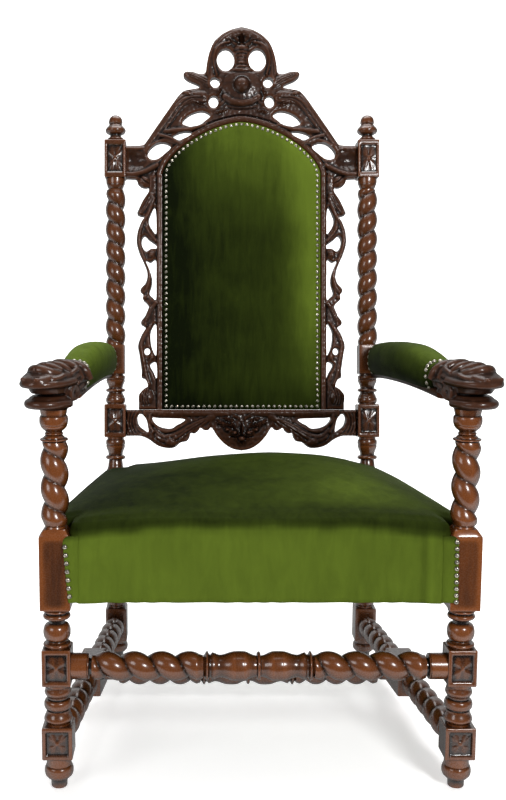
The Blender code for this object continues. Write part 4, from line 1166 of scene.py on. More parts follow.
SCROLL_OUTLINE = (
    (148.8, 187.6), (148.4, 192.0), (143.5, 199.4), (138.6, 209.4), (137.2, 214.0), (141.0, 216.4),
    (145.2, 217.0), (141.6, 222.5), (137.6, 232.8), (136.6, 242.5), (139.2, 252.8), (143.5, 262.2),
    (146.5, 270.0), (147.4, 276.0), (145.6, 282.9), (141.2, 288.1), (140.5, 291.8), (143.3, 295.0),
    (143.2, 300.0), (147.0, 304.0), (148.6, 307.8), (145.6, 315.1), (141.4, 321.0), (141.6, 325.0),
    (145.6, 328.2), (141.5, 335.6), (138.0, 345.2), (139.2, 353.8), (140.5, 362.5), (141.6, 371.0),
    (141.8, 377.6), (146.0, 380.0), (148.0, 386.0), (144.4, 388.6), (139.4, 394.3), (138.8, 401.9))
SCROLL_HOLES = (
    ((155.2, 207.9), (149.8, 216.6), (149.1, 223.5), (152.6, 230.4), (156.4, 232.6)),
    ((144.8, 236.1), (149.1, 240.0), (156.4, 245.4), (156.2, 248.4), (151.2, 248.6), (146.2, 251.4),
     (142.4, 246.8), (141.8, 240.4)),
    ((145.9, 261.0), (150.5, 262.6), (156.0, 260.6), (156.3, 280.0), (156.0, 299.0), (152.8, 297.6),
     (149.6, 293.6), (151.6, 286.3), (152.1, 279.5), (150.2, 271.6)),
    ((156.2, 325.0), (150.9, 331.5), (150.9, 343.5), (153.8, 352.8), (156.4, 353.4)),
    oval((147.2, 351.6), 2.9, 3.3, 14),
    ((150.2, 365.0), (156.2, 363.0), (156.9, 378.7), (153.6, 372.4)))


def stile_shell(side, sizes):
    """A stile of the panel's frame with its pierced scroll bracket."""
    outer = smooth_path(on_back(SCROLL_OUTLINE), 5)
    outer[0, 1] = PANEL_SPRING - JOINT_GAP
    outer[-1, 1] = PANEL_FOOT
    frame_edge = np.array([(PANEL_HALF, PANEL_FOOT), (PANEL_HALF, PANEL_SPRING - JOINT_GAP)])
    loops = [np.vstack([outer, frame_edge])]
    loops += [smooth_loop(on_back(hole), 5) for hole in SCROLL_HOLES]

    def heights(points, gap):
        r = Relief(points, gap, 0.000, 0.0085, 0.0050)
        stile = PANEL_HALF + 0.0075
        out = np.clip(1 - ((r.place[:, 0] - stile) / 0.0070) ** 2, 0, 1)
        r.height = np.maximum(r.height, (0.0060 + 0.0050 * np.sqrt(out)) * (out > 0))
        for x, depth in ((0.0045, 0.0010), (0.0142, 0.0030)):
            line = np.abs(r.place[:, 0] - PANEL_HALF - x)
            r.height = r.height - depth * np.exp(-(line / 0.0012) ** 2)
        # strands and leaves of the scrolls
        r.ridge(((152, 196), (147, 206), (140.5, 213.5)), 0.0085, 0.0110, 0.3)
        r.groove(((151, 197), (146, 206), (141, 212.5)), 0.0010, 0.0030)
        r.ridge(((154, 199), (148.5, 213), (142, 226), (139.4, 241), (143, 255.5), (148.4, 268),
                 (149.8, 278), (147, 288), (143.5, 293)), 0.0062, 0.0100, 0.2)
        r.ridge(((146.5, 228), (150, 234), (156, 241)), 0.0050, 0.0105)
        r.bump((151.6, 255.0), 4.6, 4.6, 0.0140)
        r.bump((144.6, 297.4), 4.4, 3.8, 0.0130)
        r.ridge(((156, 303), (151.5, 309), (147.5, 318), (145.5, 325)), 0.0070, 0.0105, 0.2)
        r.groove(((152, 307), (148.5, 316), (146.5, 323)), 0.0010, 0.0028)
        r.ridge(((150, 327), (144, 337), (141.5, 347), (144, 362), (146, 374), (149, 384)),
                0.0064, 0.0105)
        r.bump((152.0, 357.5), 3.8, 4.2, 0.0135)
        # shell volute at the foot
        r.bump((146.6, 396.5), 9.2, 10.5, 0.0145)
        for k in range(4):
            r.groove(((150 - k * 2.6, 387.5 + k * 0.4), (147.5 - k * 2.6, 397), (149.5 - k * 2.8, 405)),
                     0.0009, 0.0028)
        r.height = tooled(r, 2, 0.00022)
        return r.height

    board = carved_board(loops, sizes.carving_cell, heights, BOARD_BACK)

    def mirrored(points):
        out = points.copy()
        out[:, 0] *= side
        return out
    return board.moved(mirrored)


RAIL_BOTTOM = (
    (126.2, 436.0), (134.0, 435.8), (141.5, 436.2), (149.0, 439.4), (157.1, 445.2), (165.3, 447.8),
    (174.0, 447.6), (180.6, 442.6), (186.6, 441.2), (189.6, 437.2), (190.8, 433.0), (194.4, 433.6),
    (198.0, 431.2), (200.4, 427.8), (204.2, 430.2), (208.2, 430.0), (210.8, 427.4), (213.6, 430.4),
    (217.3, 436.2), (224.5, 443.8), (232.7, 448.8), (241.4, 450.6))
RAIL_HOLES = (
    ((139.4, 414.2), (137.4, 418.5), (139.2, 425.6), (144.0, 429.8), (148.4, 432.0), (148.0, 425.5),
     (146.4, 419.2), (143.0, 415.0)),
    ((152.4, 417.8), (160.0, 418.2), (170.0, 418.4), (184.6, 419.2), (181.0, 423.0), (177.2, 424.8),
     (171.4, 428.4), (162.2, 427.6), (155.4, 423.8)))


def rail_shell(sizes):
    """The lower back rail: moulding, leaf scrolls, end pieces and the foliage boss."""
    lower = smooth_path(on_back(RAIL_BOTTOM), 5)
    lower[0, 0] = POST_SIDE
    top = np.array([(POST_SIDE, PANEL_FOOT - JOINT_GAP)])
    half = np.vstack([top, lower])
    mirror = half[::-1] * (-1, 1)
    loops = [np.vstack([half, mirror[1:]])]
    for hole in RAIL_HOLES:
        loops += hole_pair(hole)

    def heights(points, gap):
        r = Relief(points, gap, 0.001, 0.0065, 0.0055)
        up = r.place[:, 1]
        row = BACK_TOP - (412.6 - BACK_TOP_PX) * BACK_SCALE
        bar = np.clip(1 - ((up - row) / 0.0085) ** 2, 0, 1) * (r.place[:, 0] < 0.212)
        r.height = np.maximum(r.height, (0.006 + 0.006 * np.sqrt(bar)) * (bar > 0))
        r.height = r.height - 0.0020 * np.exp(-((up - row - 0.0042) / 0.0011) ** 2)
        # concentric cuts of the end pieces
        x, y = on_back([(149, 422)])[0]
        d = np.hypot(r.place[:, 0] - x, (r.place[:, 1] - y))
        ends = r.place[:, 0] > 0.214
        rings = 0.0017 * np.cos(d / 0.0066 * tau)
        r.height = r.height + np.where(ends, rings, 0)
        # the big leaf scroll on each side
        r.ridge(((150, 421), (152, 430), (160, 437.5), (172, 438), (186, 430), (200, 421.5),
                 (212, 416)), 0.0170, 0.0095, 0.35)
        for shift, depth in ((-4.6, 0.0026), (0.2, 0.0016), (4.6, 0.0026)):
            r.groove(((151.5 + shift * 0.5, 424), (155, 432 + shift), (163, 438 + shift),
                      (175, 436 + shift), (189, 427.5 + shift * 0.8), (206, 418.5 + shift * 0.4)),
                     0.0015, depth)
        r.ridge(((150.2, 415), (149.4, 424), (153.5, 431.5)), 0.0060, 0.0125, 0.2)
        r.bump((170.5, 441.5), 8.0, 5.5, 0.0140, tilt=0.3)
        for centre, angle in (((182, 438), 0.9), ((192, 430), 0.8), ((202, 425), 0.9),
                              ((209, 425), 1.1)):
            r.leaf(centre, pi - angle, 7.5, 3.4, 0.0125)
        # the foliage boss: a fan of leaves that hangs from a curled crown
        r.bump((241.4, 426.0), 29.0, 24.0, 0.0130)
        for k, lean in enumerate((1.32, 0.92, 0.55, 0.20)):
            x, y = 241.4 - 15.5 * sin(lean), 421.0 + 15.0 * cos(lean)
            r.leaf((x, y), -lean - pi / 2, 12.5, 4.6, 0.0205 - 0.0010 * k, 4)
        for x, y, angle, long, wide, high in ((236.5, 417.5, 2.5, 8.0, 3.4, 0.0215),
                                              (229.0, 419.5, 2.9, 8.5, 3.6, 0.0205),
                                              (221.5, 422.5, 2.6, 7.5, 3.2, 0.0185),
                                              (233.5, 425.5, 2.1, 6.0, 3.2, 0.0235),
                                              (241.4, 428.0, pi / 2, 8.0, 3.6, 0.0250)):
            r.leaf((x, y), pi - angle, long, wide, high)
        r.bump((234.5, 432.5), 3.2, 2.8, 0.0235)
        r.bump((241.4, 438.5), 4.4, 3.4, 0.0240)
        r.bump((227.0, 429.5), 2.8, 2.4, 0.0215)
        r.groove(((241.4, 434.5), (236.0, 437.0), (229.5, 436.0)), 0.0010, 0.0034)
        r.height = tooled(r, 3, 0.00035)
        return r.height

    return carved_board(loops, sizes.carving_cell, heights, BOARD_BACK)


# Beast heads: sections and strands joined into one skin

def blob(shell, centre, radii, sides=18, rows=12):
    """An ellipsoid."""
    rings = []
    for i in range(1, rows):
        polar = pi * i / rows
        ring = np.array([(sin(polar) * cos(tau * k / sides), sin(polar) * sin(tau * k / sides),
                          cos(polar)) for k in range(sides)])
        rings.append(ring * radii + centre)
    shell.loops(rings)


def strand(shell, path, sides=12):
    """A tube through (x, y, z, radius) points, closed at both ends."""
    line = smooth_path(path, 5)
    loops = []
    for i, row in enumerate(line):
        ahead = line[min(i + 1, len(line) - 1), :3] - line[max(i - 1, 0), :3]
        ahead = Vector(ahead).normalized()
        across = ahead.cross(Vector((0, 0, 1)))
        if across.length < 0.1:
            across = ahead.cross(Vector((1, 0, 0)))
        across.normalize()
        up = across.cross(ahead)
        loops.append([tuple(Vector(row[:3]) + (across * cos(tau * k / sides)
                                               + up * sin(tau * k / sides)) * row[3])
                      for k in range(sides)])
    shell.loops(loops)


def skin(shell, voxel, smooth_rounds):
    """One closed skin over all the shells, softened a little."""
    mesh = bpy.data.meshes.new("skin")
    mesh.from_pydata(np.concatenate(shell.points).tolist(), [], shell.faces)
    bm = bmesh.new()
    bm.from_mesh(mesh)
    bmesh.ops.recalc_face_normals(bm, faces=bm.faces[:])
    bm.to_mesh(mesh)
    bm.free()
    holder = bpy.data.objects.new("skin", mesh)
    bpy.context.scene.collection.objects.link(holder)
    remesh = holder.modifiers.new("Skin", "REMESH")
    remesh.mode = "VOXEL"
    remesh.voxel_size = voxel
    graph = bpy.context.evaluated_depsgraph_get()
    done = bpy.data.meshes.new_from_object(holder.evaluated_get(graph))
    bpy.data.objects.remove(holder, do_unlink=True)
    points = np.zeros(len(done.vertices) * 3)
    done.vertices.foreach_get("co", points)
    points = points.reshape(-1, 3)
    edges = np.zeros(len(done.edges) * 2, int)
    done.edges.foreach_get("vertices", edges)
    points = relaxed(points, edges.reshape(-1, 2), smooth_rounds)
    faces = [tuple(p.vertices) for p in done.polygons]
    out = Shell()
    out.add(points, faces)
    return out


HEAD_TURN = {-1: radians(31), 1: radians(26)}
HEAD_VOXEL = 0.0016
CUP_RIM = 0.6332


def head_frame(side):
    """Places in (ahead, outward, up) of the head, from the leg's axis and the cup's rim."""
    def place(points):
        pts = np.asarray(points, float).reshape(-1, 3)
        ahead, out, up = pts[:, 0], pts[:, 1], pts[:, 2]
        turn = HEAD_TURN[side]
        x = LEG_X + ahead * sin(turn) + out * cos(turn)
        y = LEG_Y - ahead * cos(turn) + out * sin(turn)
        return np.column_stack([side * x, y, up + CUP_RIM])
    return place


def oval_ring(a, o, wide, low, high, squareness=0.78):
    """A ring across the head at one place ahead of the leg."""
    middle, tall = (low + high) / 2, (high - low) / 2
    return [(a, o + wide * bulged(cos(tau * k / 24), squareness),
             middle + tall * bulged(sin(tau * k / 24), squareness)) for k in range(24)]


def level_ring(z, reach, wide, back, bluntness=0.85):
    """A level ring, blunt ahead, at one height over the cup."""
    ring = []
    for k in range(28):
        c, s = cos(tau * k / 28), sin(tau * k / 28)
        ahead = reach * c ** bluntness if c > 0 else back * c
        ring.append((ahead, wide * bulged(s, bluntness), z))
    return ring


# Rings of the head: place ahead of the leg, place outward, half width, underside, top
NECK = ((-0.0885, 0.0225, 0.0255, 0.019, 0.0670), (-0.078, 0.0205, 0.0265, 0.018, 0.0670),
        (-0.060, 0.0155, 0.0285, 0.015, 0.0640), (-0.042, 0.0100, 0.0305, 0.011, 0.0640),
        (-0.024, 0.0045, 0.0320, 0.007, 0.0645), (-0.008, 0.0, 0.0325, 0.003, 0.0645),
        (0.004, 0.0, 0.0305, 0.008, 0.0645))
MUZZLE = ((-0.012, 0.0, 0.0335, 0.042, 0.0640), (0.008, 0.0, 0.0330, 0.041, 0.0650),
          (0.024, 0.0, 0.0310, 0.040, 0.0650), (0.036, 0.0, 0.0290, 0.040, 0.0630),
          (0.045, 0.0, 0.0265, 0.0400, 0.0600), (0.0535, 0.0, 0.0225, 0.0405, 0.0570),
          (0.0590, 0.0, 0.0180, 0.0405, 0.0545), (0.0620, 0.0, 0.0130, 0.0430, 0.0515))
# Level rings: height over the cup, reach ahead, half width, reach behind
PALATE = ((0.0275, 0.041, 0.0275, 0.024), (0.0310, 0.044, 0.0280, 0.024),
          (0.0360, 0.049, 0.0295, 0.024), (0.0400, 0.055, 0.0315, 0.024),
          (0.0440, 0.059, 0.0325, 0.024))
JAW = ((-0.0004, 0.0205, 0.0215, 0.022), (0.0030, 0.0330, 0.0260, 0.024),
       (0.0070, 0.0470, 0.0310, 0.024), (0.0120, 0.0510, 0.0330, 0.024),
       (0.0170, 0.0480, 0.0325, 0.024), (0.0205, 0.0430, 0.0305, 0.024),
       (0.0232, 0.0370, 0.0280, 0.024))
# Lips: reach ahead, half width, height, radius, reach behind and rise at their ends
LIPS = ((0.0585, 0.0335, 0.0435, 0.0060, -0.014, 0.0025),
        (0.0470, 0.0300, 0.0110, 0.0072, -0.004, 0.0))
# The brow block, the fold behind it and the fold over the lip: (ahead, out, up, radius)
BROW = (((0.037, 0.0, 0.0650, 0.0092), (0.035, 0.0100, 0.0640, 0.0088),
         (0.028, 0.0190, 0.0610, 0.0078), (0.014, 0.0270, 0.0570, 0.0060)),
        ((0.017, 0.0, 0.0685, 0.0086), (0.015, 0.0120, 0.0665, 0.0082),
         (0.007, 0.0240, 0.0610, 0.0066)),
        ((0.010, 0.0315, 0.0570, 0.0040), (0.024, 0.0315, 0.0535, 0.0036),
         (0.038, 0.0275, 0.0520, 0.0028)))
# Ribs over the crown: place ahead, height and radius
RIBS = ((-0.003, 0.0700, 0.0068), (-0.024, 0.0700, 0.0084), (-0.047, 0.0670, 0.0086))
# Whorl at the corner of the mouth: place ahead, outward and up, then rings of size and radius
WHORL = (-0.0120, 0.0325, 0.0270)
WHORL_RINGS = ((0.0100, 1.1, 0.0036), (0.0050, 1.0, 0.0030))
# Folds behind the cheek: start and end as (ahead, out of the cheek, up) and a radius
FOLDS = ((-0.006, 0.0320, 0.0570, -0.050, 0.0280, 0.0600, 0.0052),
         (-0.012, 0.0330, 0.0490, -0.066, 0.0275, 0.0520, 0.0058),
         (-0.020, 0.0330, 0.0410, -0.074, 0.0265, 0.0420, 0.0058),
         (-0.024, 0.0320, 0.0310, -0.070, 0.0260, 0.0320, 0.0056),
         (-0.020, 0.0300, 0.0200, -0.058, 0.0255, 0.0230, 0.0050))


def head_shell(side):
    """The open-mouthed head: muzzle, lips, jaw, brow, crown ribs, whorls and mane."""
    raw = Shell()
    for rings in (NECK, MUZZLE):
        raw.loops([oval_ring(*ring) for ring in rings])
    for rings in (PALATE, JAW):
        raw.loops([level_ring(*ring) for ring in rings])
    for reach, wide, up, size, back, dip in LIPS:
        path = [(back, wide, up + dip), (0.012, wide, up), (reach * 0.62, wide * 0.86, up),
                (reach * 0.90, wide * 0.50, up), (reach, 0.0, up)]
        path = path + [(a, -o, z) for a, o, z in reversed(path[:-1])]
        strand(raw, [(a, o, z, size) for a, o, z in path])
    # a pad of wood at the back of the mouth joins palate and jaw
    blob(raw, (-0.002, 0, 0.0255), (0.026, 0.023, 0.0050))
    for s in (-1, 1):
        # nostril at the blunt snout
        blob(raw, (0.0560, s * 0.0120, 0.0515), (0.0068, 0.0070, 0.0046))
        for path in BROW:
            strand(raw, [(a, s * o, z, size) for a, o, z, size in path])
        # each rib runs down its side to the cheek
        for a, high, size in RIBS:
            strand(raw, [(a, 0.0, high, size), (a - 0.002, s * 0.0140, high - 0.002, size),
                         (a - 0.006, s * 0.0255, high - 0.010, size * 0.85),
                         (a - 0.011, s * 0.0320, high - 0.024, size * 0.55)])
        for size, turns, thick in WHORL_RINGS:
            angles = [s * 0.4 + tau * turns * k / 8 for k in range(9)]
            strand(raw, [(WHORL[0] + size * cos(angle), s * WHORL[1], WHORL[2] + size * sin(angle),
                          thick) for angle in angles])
        # mane
        for a0, o0, z0, a1, o1, z1, size in FOLDS:
            lean = 0.0205 * max(0.0, (-a1 - 0.004) / 0.085)
            middle = ((a0 + a1) / 2, s * ((o0 + o1) / 2 + 0.0016) + lean * 0.45,
                      (z0 + z1) / 2 + 0.0045, size)
            strand(raw, [(a0, s * o0, z0, size * 0.6), middle,
                         (a1, s * o1 + lean, z1, size * 0.75)])
        blob(raw, (-0.038, s * 0.0305 + 0.0085, 0.0580), (0.0095, 0.0055, 0.0075))
    return skin(raw.moved(head_frame(side)), HEAD_VOXEL, 1)


ARM_REAR_OUT = 0.296
ARM_FRONT_IN = 0.024
ARM_PAD_FRONT = 0.084
ARM_BLOCK = 0.041
ARM_REAR_HEIGHT = 0.6555
ARM_FRONT_HEIGHT = 0.6817
PAD_HALF_WIDTH = 0.0290
PAD_HALF_HEIGHT = 0.0345


def post_face(z):
    """The depth of the post's arm block at a height."""
    up = (z - SEAT_BLOCK_TOP) / cos(RAKE)
    return POST_Y + up * sin(RAKE) - ARM_BLOCK / 2 / cos(RAKE)


def arm_centre(share):
    """Share 0 at the rear post and 1 at the front of the pad."""
    front_out = LEG_X - ARM_FRONT_IN
    out = ARM_REAR_OUT + (front_out - ARM_REAR_OUT) * share ** 2
    z = ARM_REAR_HEIGHT + (ARM_FRONT_HEIGHT - ARM_REAR_HEIGHT) * (1 - (1 - share) ** 2)
    rear = post_face(z)
    return out, rear + (LEG_Y + ARM_PAD_FRONT - rear) * share, z


def arm_board(side):
    """The strip of wood under the pad."""
    shell = Shell()
    loops = []
    for share in np.linspace(0, 1.08, 18):
        out, y, z = arm_centre(share)
        loop = []
        for k in range(20):
            angle = tau * k / 20
            across = 0.0185 * bulged(cos(angle), 0.4)
            up = -0.031 + 0.0068 * bulged(sin(angle), 0.6)
            depth = post_face(z + up) if share == 0 else y
            loop.append((side * (out + across), depth, z + up))
        loops.append(loop)
    shell.loops(loops)
    return shell


def pad_point(share, angle, side, lift=0.0):
    """A point on the arm pad's skin."""
    out, y, z = arm_centre(share)
    belly = 1 + 0.13 * sin(pi * share) ** 0.8
    pinch = max(0.0, (share - 0.68) / 0.32) ** 1.6
    wide = (PAD_HALF_WIDTH + lift) * (belly - 0.14 * pinch)
    tall = PAD_HALF_HEIGHT + lift
    if sin(angle) > 0:
        tall = tall * (belly - 0.45 * pinch)
    across = wide * bulged(cos(angle), 0.78)
    up = tall * bulged(sin(angle), 0.86)
    depth = y + (post_face(z + up) - post_face(z)) * (1 - share) ** 3
    if share <= 0:
        depth = post_face(z + up) - 0.0004
    return (side * (out + across), depth, z + up)


def pad_shell(side):
    """A stuffed pad that tapers to its nailed ends."""
    shell = Shell()
    loops = []
    for share in np.linspace(0, 1, 41):
        tuck = 0.0
        for end in (0.0, 1.0):
            tuck -= 0.0050 * max(0.0, 1 - abs(share - end) / 0.05) ** 2
        loop = []
        for k in range(64):
            angle = tau * k / 64
            pucker = 0.0007 * cos(angle * 18) * (max(0.0, 1 - share / 0.16) ** 1.5
                                                 + max(0.0, 1 - (1 - share) / 0.16) ** 1.5)
            loop.append(pad_point(share, angle, side, tuck + pucker))
        loops.append(loop)
    shell.loops(loops)
    return shell


def pad_tones(side):
    """Painted light and shade of the pad's pile: bright on the left arm, dark with a painted lit top on
    the right.
    """
    def tones(points):
        x, y, z = points[:, 0], points[:, 1], points[:, 2]
        top = np.clip((z - 0.658) / 0.055, 0, 1)
        out = np.clip((np.abs(x) - 0.275) / 0.05, 0, 1)
        if side < 0:
            return 0.30 + 0.42 * top + 0.10 * out
        return 0.02 + 0.22 * top + 0.42 * top * np.clip((0.02 - y) / 0.20, 0, 1)
    return tones


# The seat

LEG_HALF = 0.0253
SEAT_OVERHANG = 0.021
SEAT_EDGE_HEIGHT = 0.448
SEAT_FALL = 0.021
SEAT_ROLL = 0.0095
SEAT_ROLL_DROP = 0.011
SEAT_CELL = 0.0050
OVER_LEG = 0.0058
STUFFING_BOTTOM = 0.3395


def seat_outline(inset):
    """The velvet's plan, notched round the legs and posts."""
    half = LEG_HALF + inset
    post_half = POST_HALF + inset
    out = SEAT_OVERHANG - inset
    far = POST_Y - post_half
    right = [(LEG_X - half, LEG_Y - out), (LEG_X - half, LEG_Y + half),
             (leg_line(LEG_Y + half) + out, LEG_Y + half),
             (leg_line(far) + out, far), (POST_X - post_half, far),
             (POST_X - post_half, POST_Y + out)]
    left = [(-x, y) for x, y in reversed(right)]
    loop = []
    corners = right + left
    for (x1, y1), (x2, y2) in zip(corners, corners[1:] + corners[:1]):
        steps = max(2, int(((x2 - x1) ** 2 + (y2 - y1) ** 2) ** 0.5 / 0.012))
        for k in range(steps):
            t = k / steps
            loop.append((x1 + (x2 - x1) * t, y1 + (y2 - y1) * t))
    return np.array(loop)


# How far the stuffing stands over the edge from front to back, in shares of the crown
SEAT_CROWN = ((0, 0.27), (0.15, 0.59), (0.3, 0.80), (0.5, 0.96), (0.65, 1.0), (0.8, 0.88),
              (1, 0.55))
# The share of it from the left side to the right, at the back
SEAT_HUMP = ((-1, 0), (-0.62, 0.26), (-0.22, 0.75), (0.2, 1), (0.57, 0.8), (0.86, 0.33), (1, 0))


def eased(table, at):
    """Values from a table of (place, value) rows, with its corners rounded off."""
    rows = np.array(table, float)
    width = (rows[-1, 0] - rows[0, 0]) * 0.07
    total = 0.0
    for shift, weight in ((-1.0, 0.12), (-0.5, 0.22), (0.0, 0.32), (0.5, 0.22), (1.0, 0.12)):
        total = total + weight * np.interp(at + shift * width, rows[:, 0], rows[:, 1])
    return total


def seat_shell(sizes):
    """Stuffed top, rolled edge and a skirt turned down over the rails."""
    loops = [seat_outline(0.0)]
    points, quads, border, rim = board_sheet([seat_outline(SEAT_ROLL)], SEAT_CELL)

    def top_height(pts, gap):
        x, y = pts[:, 0], pts[:, 1]
        depth = np.clip((y - LEG_Y) / SEAT_DEPTH, 0, 1)
        half = LEG_X * (1 - depth) + POST_X * depth + SEAT_OVERHANG
        across = np.clip(x / half, -1, 1)
        share = (1 - across ** 4) * (1 - depth) + eased(SEAT_HUMP, across) * depth
        height = SEAT_EDGE_HEIGHT - SEAT_FALL * depth
        height = height + sizes.seat_crown * eased(SEAT_CROWN, depth) * share
        # hand-stuffed unevenness, and the soft edge
        height = height + 0.0012 * np.sin(x * 19 + 1.3) * np.sin(y * 23 + 0.4) * share
        return height - 0.0050 * np.clip(1 - (gap - SEAT_ROLL) / 0.016, 0, 1) ** 2

    gap = signed_gap(points, loops)
    base = top_height(points, gap)
    count = len(points)
    shell = Shell()
    rows = [np.column_stack([points[rim], base[rim]])]
    here = points[rim]
    gx, gy = gap_slope(here, loops, 0.002)
    size = np.maximum(np.hypot(gx, gy), 1e-6)
    outward = -np.stack([gx, gy], 1) / size[:, None]
    g0 = signed_gap(here, loops)
    start = base[rim]
    for k in range(1, 9):
        angle = pi / 2 * k / 8
        reach = g0 * sin(angle)
        z = start - SEAT_ROLL_DROP * (1 - cos(angle))
        rows.append(np.column_stack([here + outward * reach[:, None], z]))
    rim_out = here + outward * g0[:, None]
    low_start = start - SEAT_ROLL_DROP
    for k in range(1, 15):
        t = k / 14
        z = low_start + (SEAT_FOOT - low_start) * t
        x, y = rim_out[:, 0], rim_out[:, 1]
        front = (y < LEG_Y + 0.001).astype(float)
        belly = 0.0030 * np.sin(pi * t) * front
        pucker = 0.0011 * np.sin(x * 150 + 3 * np.sin(x * 31)) * np.exp(-((t - 1) / 0.35) ** 2)
        corner = np.exp(-((np.abs(x) - (LEG_X - 0.03)) / 0.035) ** 2)
        drape = 0.0018 * np.sin(x * 260 + t * 5) * corner * np.sin(pi * min(1, t * 1.2))
        near_leg = np.clip((np.abs(x) - 0.235) / 0.050, 0, 1)
        near_leg = near_leg ** 2 * (3 - 2 * near_leg) * front * min(1, 3 * t + 0.2)
        shift = np.maximum(belly, OVER_LEG * near_leg) + (pucker + drape) * front * (1 - near_leg)
        moved = rim_out + outward * shift[:, None]
        rows.append(np.column_stack([moved, z]))
    # turned under at the foot, and a stuffing bottom that closes the form
    under = rim_out - outward * 0.0050
    rows.append(np.column_stack([under, np.full(len(rim), SEAT_FOOT + 0.0005)]))
    rows.append(np.column_stack([here, np.full(len(rim), SEAT_FOOT + 0.006)]))
    top = np.column_stack([points, base])
    bottom = np.column_stack([points, np.full(count, STUFFING_BOTTOM)])
    faces = [tuple(q) for q in quads.tolist()]
    faces += [tuple(q[::-1]) for q in (quads + count).tolist()]
    where = {v: k for k, v in enumerate(rim.tolist())}
    n = len(rim)
    start_row = 2 * count
    for a, b in border.tolist():
        ia, ib = where[a], where[b]
        faces.append((b, a, start_row + n + ia, start_row + n + ib))
        for r in range(1, len(rows) - 1):
            low = start_row + r * n
            faces.append((low + ib, low + ia, low + n + ia, low + n + ib))
        last = start_row + (len(rows) - 1) * n
        faces.append((last + ib, last + ia, a + count, b + count))
    shell.add(np.concatenate([top, bottom] + rows), faces)
    return shell


FLAP_TOP = 0.4315
LEG_INNER = LEG_X - 0.0262


def flap_reach(side, share):
    """How far the velvet's edge passes the inner face of the leg's block, from the top down."""
    return 0.0129 - 0.0086 * share if side < 0 else 0.0121 + 0.0015 * share


def seat_flap(side):
    """The velvet's nailed edge, laid over the inner corner of the leg's block."""
    shell = Shell()
    front = LEG_Y - 0.0268
    loops = []
    for k in range(25):
        t = k / 24
        z = FLAP_TOP - (FLAP_TOP - SEAT_FOOT - 0.0015) * t
        over = flap_reach(side, t) * min(1.0, 0.45 + t * 9) + 0.0004 * sin(t * 55)
        section = ((-0.014, 0.0050), (-0.012, 0.0004), (-0.001, -0.0003), (over * 0.6, -0.0006),
                   (over - 0.0006, -0.0004), (over, 0.0008), (over - 0.001, 0.0022), (0.0, 0.0040))
        loops.append([(side * (LEG_INNER + x), front + y, z) for x, y in section])
    shell.loops(loops)
    return shell


# Painted light and shade of brushed pile in patches on the seat's top: place across and in depth, radii
# and tone
SEAT_PATCHES = ((0.03, 0.28, 0.10, 0.05, -0.08), (-0.10, 0.40, 0.10, 0.06, -0.05),
                (0.00, 0.60, 0.14, 0.12, 0.09), (0.17, 0.22, 0.12, 0.16, 0.20),
                (0.22, 0.50, 0.08, 0.20, 0.12))


def seat_tones(points):
    """Painted light and shade of the seat's pile: a bright front, a dark top, shade over the edge,
    lighter and olive at the right.
    """
    x, y, z = points[:, 0], points[:, 1], points[:, 2]
    depth = (y - LEG_Y) / SEAT_DEPTH
    line = SEAT_EDGE_HEIGHT + 0.009 - 0.013 * np.clip(x / LEG_X, -1, 1) ** 4
    line = line - 0.015 * (x / LEG_X) ** 2
    line = line + 0.0022 * np.sin(x * 41 + 1.1) + 0.0014 * np.sin(x * 97)
    # painted light on the seat's front
    front = np.clip((line - z) / 0.016, 0, 1) * np.clip((0.02 - depth) / 0.04, 0, 1)
    # painted shade over the top, lighter towards the right
    top = 0.20 + 0.16 * np.clip((x + 0.05) / 0.20, -1, 1)
    top = top - 0.06 * np.clip((depth - 0.2) / 0.6, 0, 1)
    for cx, cy, rx, ry, amount in SEAT_PATCHES:
        top = top + amount * np.exp(-((x - cx) / rx) ** 2 - ((depth - cy) / ry) ** 2)
    edge = np.clip((depth - 0.03) / 0.06, 0, 1)
    top = top * edge + 0.20 * (1 - edge)
    face = 0.86 - 0.06 * np.clip(x / LEG_X, -1, 1)
    # painted shade along the top of the front, where it rolls over
    face = face - 0.30 * np.clip((z - 0.425) / 0.030, 0, 1) ** 2
    # painted shade and highlight of a fold near the right leg
    fold = np.exp(-((x - 0.262) / 0.005) ** 2) - 0.6 * np.exp(-((x - 0.274) / 0.005) ** 2)
    face = face - 0.16 * fold
    return np.clip(top * (1 - front) + face * front, 0, 1)


PANEL_CELL = 0.0034
PANEL_BACK = -0.0165


def panel_shell(sizes):
    """The stuffed panel in the back."""
    sides = np.array([(-PANEL_HALF, PANEL_FOOT), (PANEL_HALF, PANEL_FOOT)])
    loop = np.vstack([sides, panel_arch()[:-1], [(-PANEL_HALF, PANEL_SPRING)]])
    centre = np.array([0, (PANEL_FOOT + PANEL_SPRING) / 2])
    loop = centre + (loop - centre) * (1 - 0.0006)

    def heights(points, gap):
        g = gap * 1000
        rise = np.interp(g, (0, 2, 5, 10, 20, 40, 70, 160),
                         (0, 0.18, 0.36, 0.55, 0.74, 0.90, 0.98, 1.0))
        height = 0.0105 + sizes.panel_crown * rise
        x, y = points[:, 0], points[:, 1]
        near = np.exp(-((g - 7) / 5) ** 2)
        along = np.where(np.abs(x) > PANEL_HALF - 0.012, y, x)
        height = height + 0.0007 * near * np.cos(along / 0.013 * tau)
        height = height + 0.0006 * np.sin(x * 60 + 2) * np.sin(y * 37) * rise
        return height

    return carved_board([loop], PANEL_CELL, heights, PANEL_BACK)


